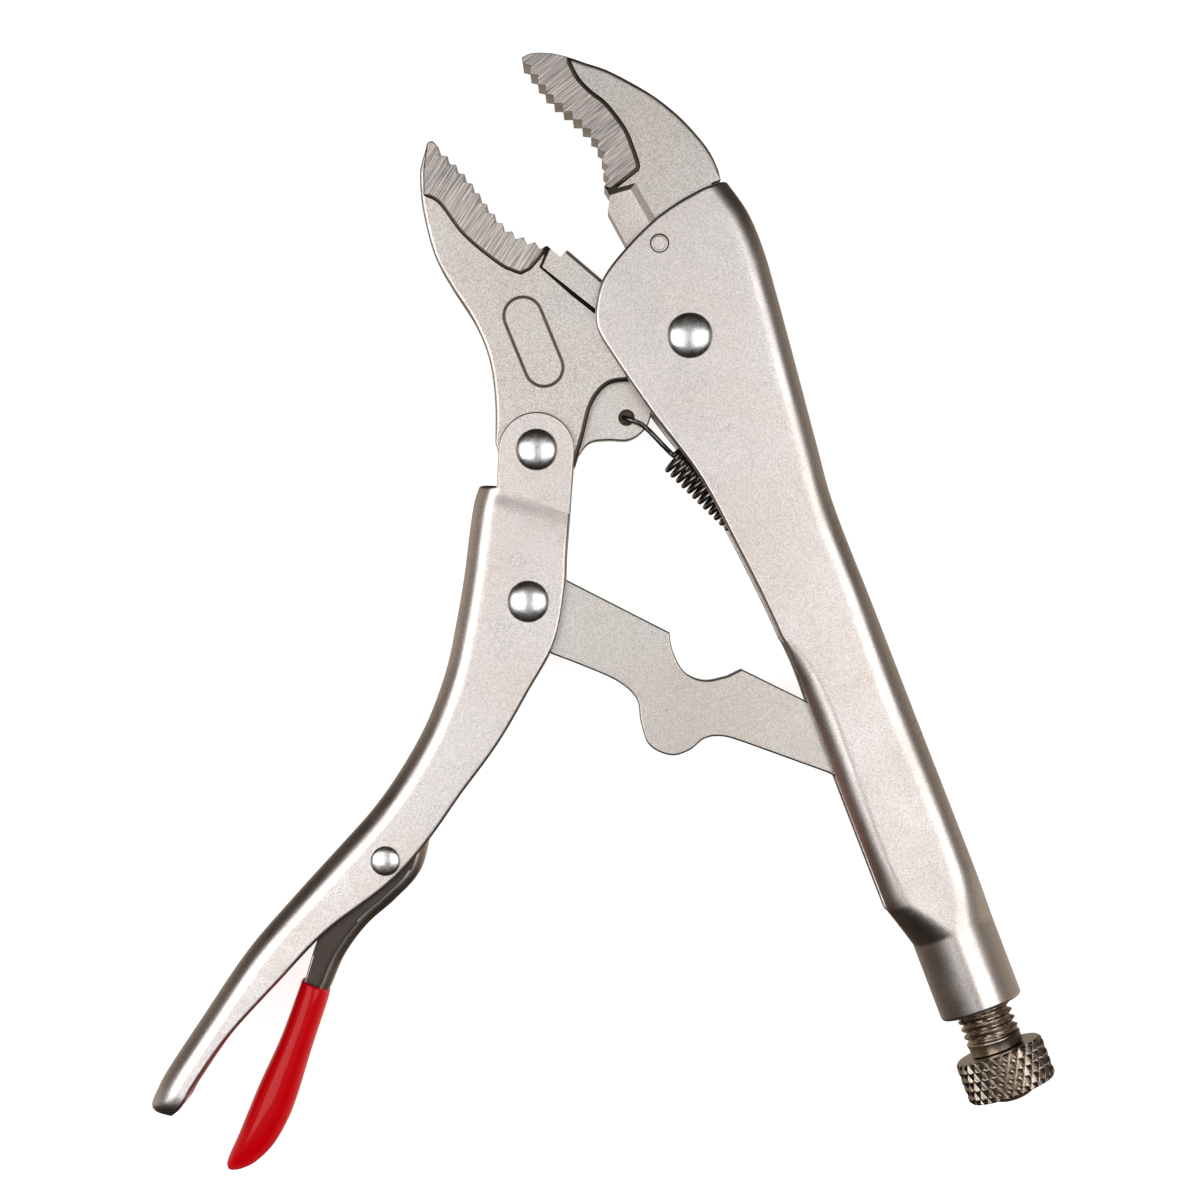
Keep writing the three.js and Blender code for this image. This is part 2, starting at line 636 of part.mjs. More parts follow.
function adjustingScrew() {
  const dome = [0, 22.5, 45, 67.5, 90].map((angle) => {
    const a = THREE.MathUtils.degToRad(angle);
    return [angle === 90 ? 0 : spigotRadius * Math.cos(a), knobFace - knobLength - 2.2 * Math.sin(a)];
  }).reverse();
  return alongScrew([
    ...dome,
    [spigotRadius, knobFace + 0.3],
    [screwRadius - 0.2, knobFace + 0.5],
    [screwRadius - 0.2, knobFace + 2],
    [screwRadius, knobFace + 2.6],
    [screwRadius, screwTip - 1],
    [screwRadius - 1, screwTip],
    [0, screwTip],
  ], 32);
}

function adjustingKnob() {
  const bore = spigotRadius + 0.3;
  const chamfer = 0.7;
  const far = knobFace - knobLength;
  return alongScrew([
    [bore, far],
    [knobRadius - chamfer, far],
    [knobRadius, far + chamfer],
    [knobRadius, knobFace - chamfer],
    [knobRadius - chamfer, knobFace],
    [bore, knobFace],
    [bore, far],
  ], 32);
}

// ---- Assembly ----

const mainRivet = rivet(mainRivetRadius, mainHeadRadius, mainDome, frameHalf + headGap);
const frame = new THREE.Group();
frame.add(
  mesh('fixed_handle', fixedHandle(), nickel()),
  mesh('fixed_jaw', fixedJaw(), groundSteel()),
  mesh('moving_jaw', movingJaw(), groundSteel()),
  mesh('main_pivot_rivet', mainRivet, chrome()),
  mesh('return_spring', returnSpring(), springSteel()),
  mesh('adjusting_screw', adjustingScrew(), darkNickel()),
  mesh('adjusting_knob', adjustingKnob(), darkNickel()),
);
const pin = mesh(
  'jaw_retaining_pin',
  turnedPiece([[0, -frameHalf], [retainingPinRadius, -frameHalf], [retainingPinRadius, frameHalf], [0, frameHalf]], 20),
  nickel(),
);
pin.position.set(...retainingPin, 0);
frame.add(pin);

const handle = new THREE.Group();
handle.position.set(...jawPivot, 0);
handle.rotation.z = THREE.MathUtils.degToRad(handleRest);
const handleRivet = (grip) => rivet(handleRivetRadius, handleHeadRadius, handleDome, grip + headGap);
const jawRivet = mesh('jaw_handle_rivet', handleRivet(earHalf), chrome());
const linkRivet = mesh('handle_link_rivet', handleRivet(handleHalf), chrome());
linkRivet.position.y = -rivetSpacing;
const leverRivet = mesh(
  'release_lever_rivet',
  rivet(leverRivetRadius, leverHeadRadius, leverDome, handleHalf + headGap),
  chrome(),
);
leverRivet.position.set(...leverPivot, 0);
handle.add(mesh('moving_handle', movingHandle(), nickel()), jawRivet, linkRivet, leverRivet);

const lever = new THREE.Group();
lever.position.set(...leverPivot, 0);
lever.add(mesh('release_lever', releaseLever(), nickel()), mesh('release_lever_grip', leverGrip(), redVinyl()));
handle.add(lever);
frame.add(handle);

const link = new THREE.Group();
link.position.set(...linkPivot, 0);
link.rotation.z = THREE.MathUtils.degToRad(linkRest);
link.add(mesh('toggle_link', toggleLink(), nickel()));
frame.add(link);

// The origin is the middle of the lowest face of the box round the whole tool.
const group = new THREE.Group();
group.add(frame);
group.updateMatrixWorld(true);
const box = new THREE.Box3().setFromObject(frame, true);
frame.position.set(-(box.min.x + box.max.x) / 2, -(box.min.y + box.max.y) / 2, -box.min.z);

export default group;
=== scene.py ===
"""Locking pliers with curved jaws, a toggle linkage, an adjusting screw and a release lever.

The tool lies flat on its side. Outlines are in millimetres, and each is drawn in the frame of its own
body: TOOL about the main pivot, HANDLE about the jaw rivet, LINK about the link rivet and SCREW along
the screw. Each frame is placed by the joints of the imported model.
"""

import json
import math

import bmesh
import bpy
from mathutils import Matrix, Vector


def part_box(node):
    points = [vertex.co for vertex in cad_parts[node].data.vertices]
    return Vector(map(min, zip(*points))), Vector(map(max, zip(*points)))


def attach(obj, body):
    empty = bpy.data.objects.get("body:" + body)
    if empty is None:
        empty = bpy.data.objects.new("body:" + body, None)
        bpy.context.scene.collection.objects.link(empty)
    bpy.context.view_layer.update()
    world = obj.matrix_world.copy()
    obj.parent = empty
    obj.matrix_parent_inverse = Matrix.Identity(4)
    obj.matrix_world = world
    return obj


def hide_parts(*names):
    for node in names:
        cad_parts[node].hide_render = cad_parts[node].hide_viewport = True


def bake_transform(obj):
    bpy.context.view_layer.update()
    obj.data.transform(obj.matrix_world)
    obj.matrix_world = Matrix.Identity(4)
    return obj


bl_info = {
    "name": "Locking Pliers",
    "version": (1, 0, 0),
    "blender": (4, 5, 0),
    "location": "3D View > Sidebar > Pliers",
    "description": "Builds a pair of locking pliers piece by piece",
    "category": "Add Mesh",
}

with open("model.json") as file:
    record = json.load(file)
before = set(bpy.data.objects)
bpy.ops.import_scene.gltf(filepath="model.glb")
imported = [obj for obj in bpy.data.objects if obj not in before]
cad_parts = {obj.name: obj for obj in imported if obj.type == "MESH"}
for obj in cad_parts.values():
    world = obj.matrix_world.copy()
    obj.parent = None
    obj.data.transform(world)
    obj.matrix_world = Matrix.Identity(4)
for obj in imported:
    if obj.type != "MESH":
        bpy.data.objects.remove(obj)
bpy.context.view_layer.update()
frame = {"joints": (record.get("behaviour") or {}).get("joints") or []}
MM = 0.001


# ---- Frames ----

def joint_point(name):
    """A joint's point, in metres."""
    return Vector(next(joint["pos_m"] for joint in frame["joints"] if joint["name"] == name))


def frame_towards(origin, below):
    """The frame at origin, in millimetres, whose -Y axis points at the point below."""
    run = below - origin
    turn = Matrix.Rotation(math.atan2(run.x, -run.y), 4, "Z")
    return Matrix.Translation(origin) @ turn @ Matrix.Scale(MM, 4)


TOOL = Matrix.Translation(joint_point("jaw_pivot")) @ Matrix.Scale(MM, 4)
HANDLE = frame_towards(joint_point("handle_pivot"), joint_point("link_pivot"))
LINK_TAIL = (7.0, -104.5)
LINK = frame_towards(joint_point("link_pivot"), TOOL @ Vector((*LINK_TAIL, 0)))
SCREW = (
    Matrix.Translation(joint_point("knob_turn"))
    @ Matrix.Rotation(math.radians(90), 4, "X")
    @ Matrix.Scale(MM, 4)
)
JAW_RIVET = (0.0, 0.0)
LINK_RIVET = (0.0, -(joint_point("link_pivot") - joint_point("handle_pivot")).length / MM)
LEVER_RIVET = tuple(HANDLE.inverted() @ joint_point("release_lever_pivot"))[:2]


def top_of(node):
    """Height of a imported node's top above the mid-plane, in millimetres."""
    return (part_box(node)[1].z - TOOL.translation.z) / MM


# ---- Outlines ----

def turned(point, angle, centre=(0.0, 0.0)):
    """A point turned about a centre, in degrees."""
    a = math.radians(angle)
    x, y = point
    return (
        centre[0] + x * math.cos(a) - y * math.sin(a),
        centre[1] + x * math.sin(a) + y * math.cos(a),
    )


def arc(centre, radius, start, end, step=5.0):
    """Points of an arc, from one angle to another."""
    count = max(2, math.ceil(abs(end - start) / step))
    return [turned((radius, 0), start + (end - start) * i / count, centre) for i in range(count + 1)]


def curve(points, steps=8):
    """A smooth curve through points of any number of values, with steps between each two."""
    last = len(points) - 1
    spans = [steps] * last if isinstance(steps, int) else steps
    out = []
    for i in range(last):
        four = [points[max(i - 1, 0)], points[i], points[i + 1], points[min(i + 2, last)]]
        for k in range(spans[i]):
            t = k / spans[i]
            out.append(tuple(
                b + 0.5 * t * (c - a + t * (2 * a - 5 * b + 4 * c - d + t * (3 * (b - c) + d - a)))
                for a, b, c, d in zip(*four)
            ))
    out.append(tuple(points[last]))
    return out


def value_at(stations, y):
    """Smooth value at a station, from a list of (station, value) in falling order of station."""
    last = len(stations) - 1
    if y >= stations[0][0]:
        return stations[0][1]
    if y <= stations[last][0]:
        return stations[last][1]
    i = next(k for k in range(last) if stations[k + 1][0] <= y)

    def slope(a, b):
        """How fast the value changes between two stations."""
        return (stations[b][1] - stations[a][1]) / (stations[b][0] - stations[a][0])

    span = stations[i + 1][0] - stations[i][0]
    t = (y - stations[i][0]) / span
    start_slope = slope(max(i - 1, 0), i + 1) * span
    end_slope = slope(i, min(i + 2, last)) * span
    return (
        (2 * t**3 - 3 * t**2 + 1) * stations[i][1] + (t**3 - 2 * t**2 + t) * start_slope
        + (3 * t**2 - 2 * t**3) * stations[i + 1][1] + (t**3 - t**2) * end_slope
    )


def teeth(tips, pitch, depth):
    """Pointed teeth along a curve through their tips, cut to the left of its direction."""
    line = curve(tips, 60)
    runs = [0.0]
    for (ax, ay), (bx, by) in zip(line, line[1:]):
        runs.append(runs[-1] + math.hypot(bx - ax, by - ay))

    def at(run):
        """The point at a run along the line, and the line's direction there."""
        i = min(next((k for k in range(1, len(runs)) if runs[k] >= run), len(runs) - 1), len(runs) - 1)
        t = (run - runs[i - 1]) / (runs[i] - runs[i - 1])
        (ax, ay), (bx, by) = line[i - 1], line[i]
        size = math.hypot(bx - ax, by - ay)
        return (ax + (bx - ax) * t, ay + (by - ay) * t), ((bx - ax) / size, (by - ay) / size)

    count = round(runs[-1] / pitch)
    points = []
    for i in range(count + 1):
        points.append(at(runs[-1] * i / count)[0])
        if i < count:
            (x, y), (dx, dy) = at(runs[-1] * (i + 0.5) / count)
            points.append((x - dy * depth, y + dx * depth))
    return points


def eased(points, inset):
    """Points of an outline with the width by which its edge is eased there."""
    return [(x, y, inset) for x, y in points]


def faded(points, first, last):
    """Points of an outline whose eased width runs from one value to another."""
    end = len(points) - 1
    return [(x, y, first + (last - first) * i / end) for i, (x, y) in enumerate(points)]


def without_repeats(outline):
    """An outline with no point twice running."""
    kept = []
    for point in outline:
        if not kept or math.hypot(point[0] - kept[-1][0], point[1] - kept[-1][1]) > 0.02:
            kept.append(point)
    if math.hypot(kept[0][0] - kept[-1][0], kept[0][1] - kept[-1][1]) < 0.02:
        kept.pop()
    return kept


# ---- Meshes ----

def finished(mesh, sharp=30.0):
    """Points a mesh's faces outwards and smooths it up to an angle."""
    shell = bmesh.new()
    shell.from_mesh(mesh)
    bmesh.ops.remove_doubles(shell, verts=shell.verts, dist=1e-7)
    bmesh.ops.recalc_face_normals(shell, faces=shell.faces)
    shell.to_mesh(mesh)
    shell.free()
    mesh.polygons.foreach_set("use_smooth", [True] * len(mesh.polygons))
    mesh.set_sharp_from_angle(angle=math.radians(sharp))
    mesh.update()
    return mesh


def add_piece(name, vertices, faces, place, materials, sharp=30.0, slots=None):
    """A new object from points in millimetres in a frame."""
    mesh = bpy.data.meshes.new(name)
    mesh.from_pydata([place @ Vector(v) for v in vertices], [], faces)
    for material in materials:
        mesh.materials.append(material)
    if slots:
        mesh.polygons.foreach_set("material_index", slots)
    piece = bpy.data.objects.new(name, finished(mesh, sharp))
    bpy.context.scene.collection.objects.link(piece)
    return piece


def skin(rings, ends=True):
    """Vertices and faces of a skin over closed rings with equal numbers of points."""
    count = len(rings[0])
    faces = []
    for i in range(len(rings) - 1):
        for j in range(count):
            a, b = i * count + j, i * count + (j + 1) % count
            faces.append((a, b, b + count, a + count))
    if ends:
        faces.append(tuple(range(count))[::-1])
        faces.append(tuple(range((len(rings) - 1) * count, len(rings) * count)))
    return [point for ring in rings for point in ring], faces


EASING = [(1 - math.sin(a), 1 - math.cos(a)) for a in (math.pi / 2 * k / 5 for k in range(6))]


def plate_rings(outline, low, high):
    """Rings of a flat piece whose edges are eased by the width given at each point."""
    outline = without_repeats(outline)
    if sum(a[0] * b[1] - b[0] * a[1] for a, b in zip(outline, outline[1:] + outline[:1])) < 0:
        outline.reverse()
    count = len(outline)
    inward = []
    for i, (x, y, _) in enumerate(outline):
        back, ahead = outline[i - 1], outline[(i + 1) % count]
        first = Vector((x - back[0], y - back[1])).normalized()
        second = Vector((ahead[0] - x, ahead[1] - y)).normalized()
        across = first + second
        if across.length < 1e-3:
            across = second
        across.normalize()
        normal = Vector((-across.y, across.x))
        inward.append(normal / max(0.6, abs(across.dot(second))))

    def ring(base, sign, share, drop):
        """One ring, drawn in by a share of the eased width and lowered by a share of its fall."""
        points = []
        for (x, y, inset), normal in zip(outline, inward):
            fall = min(inset, 0.22 + 0.4 * inset)
            draw = inset * share
            points.append((x + normal.x * draw, y + normal.y * draw, base - sign * fall * drop))
        return points

    under = [ring(low, -1, share, drop) for share, drop in EASING]
    over = [ring(high, 1, share, drop) for share, drop in reversed(EASING)]
    return under + over


def plate(name, outline, low, high, place, materials, sharp=30.0):
    """A flat piece between two heights."""
    return add_piece(name, *skin(plate_rings(outline, low, high)), place, materials, sharp)


def prism(name, lower, upper, low, high, place, material):
    """A tool between two outlines with equal numbers of points, at two heights."""
    rings = [[(x, y, low) for x, y in lower], [(x, y, high) for x, y in upper]]
    return add_piece(name, *skin(rings), place, [material])


def combined(piece, tool, operation):
    """Adds a tool to a piece or cuts it away, with the tool's material on its own faces."""
    modifier = piece.modifiers.new(operation.title(), "BOOLEAN")
    modifier.operation = operation
    modifier.object = tool
    modifier.solver = "EXACT"
    modifier.material_mode = "TRANSFER"
    applied(piece)
    bpy.data.objects.remove(tool)
    return piece


def applied(piece):
    """Turns a piece's modifiers into plain mesh."""
    depsgraph = bpy.context.evaluated_depsgraph_get()
    depsgraph.update()
    mesh = bpy.data.meshes.new_from_object(piece.evaluated_get(depsgraph), depsgraph=depsgraph)
    piece.modifiers.clear()
    piece.data = mesh
    return piece


def weighted(piece, sharp=30.0):
    """Lets each piece's large faces set its normals, so that flats stay flat."""
    piece.data.polygons.foreach_set("use_smooth", [True] * len(piece.data.polygons))
    piece.data.set_sharp_from_angle(angle=math.radians(sharp))
    modifier = piece.modifiers.new("Normals", "WEIGHTED_NORMAL")
    modifier.keep_sharp = True
    modifier.weight = 60
    return applied(piece)


def kept(piece, node, body, slot):
    """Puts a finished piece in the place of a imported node."""
    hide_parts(node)
    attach(piece, body)
    return piece


def drill(place, centre, radius, low, high, material, sides=48):
    """A round tool through the thickness."""
    circle = arc(centre, radius, 0, 360, 360 / sides)[:-1]
    return prism("drill", circle, circle, low, high, place, material)


# ---- Folded sheet ----

SHEET_SHARP = 38          # degrees, above which a bend in the sheet's surface counts as an edge


def fold(depth, half, sheet, bend, lip, slot, count, bend_steps=10):
    """Middle line of a folded sheet's half, from the middle of its spine to its open edge.

    Each point is (reach from the spine, height, direction, run left to the open edge).
    """
    middle = half - sheet / 2
    bend_radius = bend - sheet / 2
    lip_radius = lip - sheet / 2
    drop = middle - slot
    lip_turn = math.acos(max(0.0, 1 - drop / lip_radius))
    lip_start = depth - (lip_radius + sheet / 2) * math.sin(lip_turn)
    wall_start = sheet / 2 + bend_radius
    wall = lip_start - wall_start
    total = wall + lip_turn * lip_radius + max(0.0, drop - lip_radius)
    across = middle - bend_radius
    points = [(sheet / 2, across * k / 4, math.pi / 2, total + 9) for k in range(4)]
    for i in range(bend_steps + 1):
        turn = math.pi / 2 * (1 - i / bend_steps)
        points.append((
            wall_start - bend_radius * math.sin(turn),
            across + bend_radius * math.cos(turn),
            turn,
            total + bend_radius * turn,
        ))
    for i in range(1, count + 1):
        run = total * (1 - (1 - i / count) ** 1.9)
        if run <= wall:
            points.append((wall_start + run, middle, 0.0, total - run))
            continue
        turn = min((run - wall) / lip_radius, lip_turn)
        past = max(0.0, run - wall - lip_turn * lip_radius)
        points.append((
            lip_start + lip_radius * math.sin(turn),
            middle - lip_radius * (1 - math.cos(turn)) - past,
            -turn,
            total - run,
        ))
    return points


def rounding(gap, radius):
    """How far a surface draws in at a gap from a rounded edge."""
    if gap >= radius:
        return 0.0
    return radius - math.sqrt(max(0.0, radius**2 - (radius - max(gap, 0.0)) ** 2))


def channel_rings(stations, sheet, outer_round, inner_round, gap_at, count):
    """Rings of a folded sheet along its stations.

    Each station is (spine x, spine y, edge x, edge y, half width, bend, lip, slot).
    """
    rings = []
    for index, (sx, sy, ex, ey, half, bend, lip, slot) in enumerate(stations):
        depth = math.hypot(ex - sx, ey - sy)
        across = ((ex - sx) / depth, (ey - sy) / depth)
        path = fold(depth, half, sheet, bend, lip, slot, count)
        outer, inner = [], []
        for reach, height, turn, left in path:
            x, y = sx + across[0] * reach, sy + across[1] * reach
            gap = gap_at(index, x, y, turn, left)
            for side, offset in (
                (outer, sheet / 2 - rounding(gap, outer_round)),
                (inner, -sheet / 2 + rounding(gap, inner_round)),
            ):
                side.append((reach - offset * math.sin(turn), height + offset * math.cos(turn)))
        loop = [(r, -h) for r, h in reversed(outer)] + outer[1:]
        loop += list(reversed(inner)) + [(r, -h) for r, h in inner[1:]]
        rings.append([(sx + across[0] * r, sy + across[1] * r, h) for r, h in loop])
    return rings


def gap_to_line(x, y, line):
    """Shortest distance from a point to a run of straight pieces."""
    best = 1e9
    for (ax, ay), (bx, by) in zip(line, line[1:]):
        dx, dy = bx - ax, by - ay
        t = max(0.0, min(1.0, ((x - ax) * dx + (y - ay) * dy) / (dx * dx + dy * dy)))
        best = min(best, math.hypot(x - ax - dx * t, y - ay - dy * t))
    return best


def ladder(*spans):
    """Levels going down through spans of (from, to, step)."""
    levels = []
    for start, end, step in spans:
        count = max(1, round((start - end) / step))
        levels += [start - (start - end) * i / count for i in range(count)]
    return levels + [spans[-1][1]]


# ---- Node trees that make geometry ----

class GeometryTree:
    """A Geometry Nodes group under construction."""

    def __init__(self, name, inputs):
        self.group = bpy.data.node_groups.new(name, "GeometryNodeTree")
        for label, kind, value in inputs:
            socket = self.group.interface.new_socket(label, in_out="INPUT", socket_type=kind)
            if value is not None:
                socket.default_value = value
        self.group.interface.new_socket("Material", in_out="INPUT", socket_type="NodeSocketMaterial")
        self.group.interface.new_socket("Geometry", in_out="OUTPUT", socket_type="NodeSocketGeometry")
        self.inputs = self.group.nodes.new("NodeGroupInput").outputs

    def node(self, kind, values=(), **settings):
        """Adds a node, with its settings and its inputs by name or place."""
        made = self.group.nodes.new(kind)
        for key, value in settings.items():
            setattr(made, key, value)
        for key, value in dict(values).items():
            self.feed(made.inputs[key], value)
        return made

    def feed(self, socket, value):
        """Links a socket, or sets its constant."""
        if isinstance(value, bpy.types.NodeSocket):
            self.group.links.new(value, socket)
        else:
            socket.default_value = value

    def math(self, operation, *values):
        """A math node's result."""
        made = self.node("ShaderNodeMath", operation=operation)
        for socket, value in zip(made.inputs, values):
            self.feed(socket, value)
        return made.outputs[0]

    def sleeve(self, columns, rows, length):
        """A grid to roll up: its mesh, the turn round it and the run along it."""
        grid = self.node(
            "GeometryNodeMeshGrid",
            {"Size X": 2 * math.pi, "Size Y": length, "Vertices X": columns + 1, "Vertices Y": rows},
        )
        place = self.node("GeometryNodeInputPosition")
        parts = self.node("ShaderNodeSeparateXYZ", {0: place.outputs[0]})
        run = self.math("ADD", parts.outputs[1], self.math("MULTIPLY", length, 0.5))
        return grid.outputs["Mesh"], parts.outputs[0], run

    def rolled(self, mesh, turn, radius, height):
        """The grid rolled up with a radius and a height at each point."""
        spot = self.node("ShaderNodeCombineXYZ", {
            0: self.math("MULTIPLY", self.math("COSINE", turn), radius),
            1: self.math("MULTIPLY", self.math("SINE", turn), radius),
            2: height,
        })
        moved = self.node("GeometryNodeSetPosition", {"Geometry": mesh, "Position": spot.outputs[0]})
        return self.node(
            "GeometryNodeMergeByDistance", {"Geometry": moved.outputs[0], "Distance": 1e-3}
        ).outputs[0]

    def wave(self, phase):
        """A triangle wave from 0 to 1 and back for each unit of phase."""
        part = self.math("FRACT", phase)
        return self.math("SUBTRACT", 1.0, self.math("ABSOLUTE", self.math(
            "SUBTRACT", self.math("MULTIPLY", part, 2.0), 1.0)))

    def finish(self, geometry):
        """Ends the tree in Realize Instances and Set Material."""
        real = self.node("GeometryNodeRealizeInstances", {"Geometry": geometry})
        painted = self.node(
            "GeometryNodeSetMaterial", {"Geometry": real.outputs[0], "Material": self.inputs["Material"]}
        )
        self.group.links.new(painted.outputs[0], self.group.nodes.new("NodeGroupOutput").inputs[0])
        return self.group


def grown(name, group, place, material, **values):
    """A plain mesh object made by a Geometry Nodes group, with its inputs set by name."""
    piece = bpy.data.objects.new(name, bpy.data.meshes.new(name))
    bpy.context.scene.collection.objects.link(piece)
    modifier = piece.modifiers.new("Shape", "NODES")
    modifier.node_group = group
    sockets = {s.name: s.identifier for s in group.interface.items_tree if s.in_out == "INPUT"}
    for label, value in values.items():
        modifier[sockets[label.replace("_", " ")]] = value
    modifier[sockets["Material"]] = material
    applied(piece)
    piece.data.materials.clear()
    piece.data.materials.append(material)
    piece.data.polygons.foreach_set("material_index", [0] * len(piece.data.polygons))
    piece.data.transform(place)
    finished(piece.data)
    return piece


def rivet_tree():
    """Two domed heads, one facing up and one flipped to face down, about Z."""
    tree = GeometryTree("Rivet", [
        ("Head Radius", "NodeSocketFloat", 5.0),
        ("Dome", "NodeSocketFloat", 1.9),
        ("Rim", "NodeSocketFloat", 0.35),
        ("Grip", "NodeSocketFloat", 9.0),
    ])
    rows = 30
    mesh, turn, run = tree.sleeve(96, rows, 1.0)
    angle = tree.math("MULTIPLY", tree.math("MINIMUM", tree.math("DIVIDE", run, 0.9), 1.0), math.pi / 2)
    radius = tree.math("MULTIPLY", tree.math("SINE", angle), tree.inputs["Head Radius"])
    crown = tree.math("SUBTRACT", tree.inputs["Dome"], tree.inputs["Rim"])
    past = tree.math("DIVIDE", tree.math("MAXIMUM", tree.math("SUBTRACT", run, 0.9), 0.0), 0.1)
    height = tree.math("ADD", tree.math("MULTIPLY", tree.math("COSINE", angle), crown), tree.math(
        "MULTIPLY", tree.math("SUBTRACT", 1.0, past), tree.inputs["Rim"]))
    height = tree.math("ADD", height, tree.inputs["Grip"])
    head = tree.rolled(mesh, turn, radius, height)
    points = tree.node("GeometryNodeMeshLine", {"Count": 2, "Offset": (0.0, 0.0, 0.0)})
    index = tree.node("GeometryNodeInputIndex")
    flip = tree.node("ShaderNodeCombineXYZ", {0: tree.math("MULTIPLY", index.outputs[0], math.pi)})
    heads = tree.node("GeometryNodeInstanceOnPoints", {
        "Points": points.outputs[0], "Instance": head, "Rotation": flip.outputs[0],
    })
    return tree.finish(heads.outputs[0])


def thread_tree():
    """A threaded rod's outside, about Z, whose thread fades out at its far end."""
    tree = GeometryTree("Thread", [
        ("Radius", "NodeSocketFloat", 6.0),
        ("Depth", "NodeSocketFloat", 0.9),
        ("Pitch", "NodeSocketFloat", 1.75),
        ("Length", "NodeSocketFloat", 50.0),
        ("Rows", "NodeSocketInt", 400),
    ])
    mesh, turn, run = tree.sleeve(96, tree.inputs["Rows"], tree.inputs["Length"])
    lead = tree.math("DIVIDE", turn, 2 * math.pi)
    phase = tree.math("ADD", tree.math("DIVIDE", run, tree.inputs["Pitch"]), tree.math("ADD", lead, 50.0))
    flank = tree.math("MULTIPLY", tree.math("SUBTRACT", tree.wave(phase), 0.1), 1.3)
    flank = tree.math("MINIMUM", tree.math("MAXIMUM", flank, 0.0), 1.0)
    left = tree.math("SUBTRACT", tree.inputs["Length"], run)
    fade = tree.math("MINIMUM", tree.math("DIVIDE", left, 1.6), 1.0)
    cut = tree.math("MULTIPLY", tree.math("SUBTRACT", 1.0, flank), tree.math(
        "MULTIPLY", tree.inputs["Depth"], fade))
    radius = tree.math("SUBTRACT", tree.inputs["Radius"], cut)
    return tree.finish(tree.rolled(mesh, turn, radius, run))


def knurl_tree():
    """A knob's diamond knurl between two plain chamfers, about Z."""
    tree = GeometryTree("Diamond Knurl", [
        ("Radius", "NodeSocketFloat", 9.85),
        ("Depth", "NodeSocketFloat", 0.75),
        ("Length", "NodeSocketFloat", 9.3),
        ("Starts", "NodeSocketFloat", 27.0),
        ("Lead", "NodeSocketFloat", 0.25),
        ("Chamfer", "NodeSocketFloat", 0.9),
    ])
    mesh, turn, run = tree.sleeve(432, 72, tree.inputs["Length"])
    around = tree.math("MULTIPLY", turn, tree.math("DIVIDE", tree.inputs["Starts"], 2 * math.pi))
    along = tree.math("MULTIPLY", run, tree.inputs["Lead"])
    one = tree.wave(tree.math("ADD", tree.math("ADD", around, along), 100.0))
    other = tree.wave(tree.math("ADD", tree.math("SUBTRACT", around, along), 100.0))
    crest = tree.math("MINIMUM", tree.math("MULTIPLY", tree.math("MINIMUM", one, other), 1.35), 1.0)
    left = tree.math("SUBTRACT", tree.inputs["Length"], run)
    rim = tree.math("DIVIDE", tree.math("MINIMUM", run, left), tree.inputs["Chamfer"])
    short = tree.math("SUBTRACT", 1.0, tree.math("MINIMUM", rim, 1.0))
    slope = tree.math("MULTIPLY", short, tree.inputs["Chamfer"])
    cut = tree.math("MULTIPLY", tree.math("SUBTRACT", 1.0, crest), tree.inputs["Depth"])
    cut = tree.math("MAXIMUM", cut, slope)
    radius = tree.math("SUBTRACT", tree.inputs["Radius"], cut)
    return tree.finish(tree.rolled(mesh, turn, radius, run))


def coil_tree():
    """A close-wound coil about Z."""
    tree = GeometryTree("Spring Coil", [
        ("Coil Radius", "NodeSocketFloat", 3.0),
        ("Wire Radius", "NodeSocketFloat", 0.55),
        ("Turns", "NodeSocketFloat", 20.0),
        ("Length", "NodeSocketFloat", 40.0),
    ])
    spiral = tree.node("GeometryNodeCurveSpiral", {
        "Resolution": 28,
        "Rotations": tree.inputs["Turns"],
        "Start Radius": tree.inputs["Coil Radius"],
        "End Radius": tree.inputs["Coil Radius"],
        "Height": tree.inputs["Length"],
    })
    section = tree.node(
        "GeometryNodeCurvePrimitiveCircle", {"Resolution": 12, "Radius": tree.inputs["Wire Radius"]}
    )
    wire = tree.node("GeometryNodeCurveToMesh", {
        "Curve": spiral.outputs[0], "Profile Curve": section.outputs[0], "Fill Caps": True,
    })
    return tree.finish(wire.outputs[0])


# ---- Finishes ----

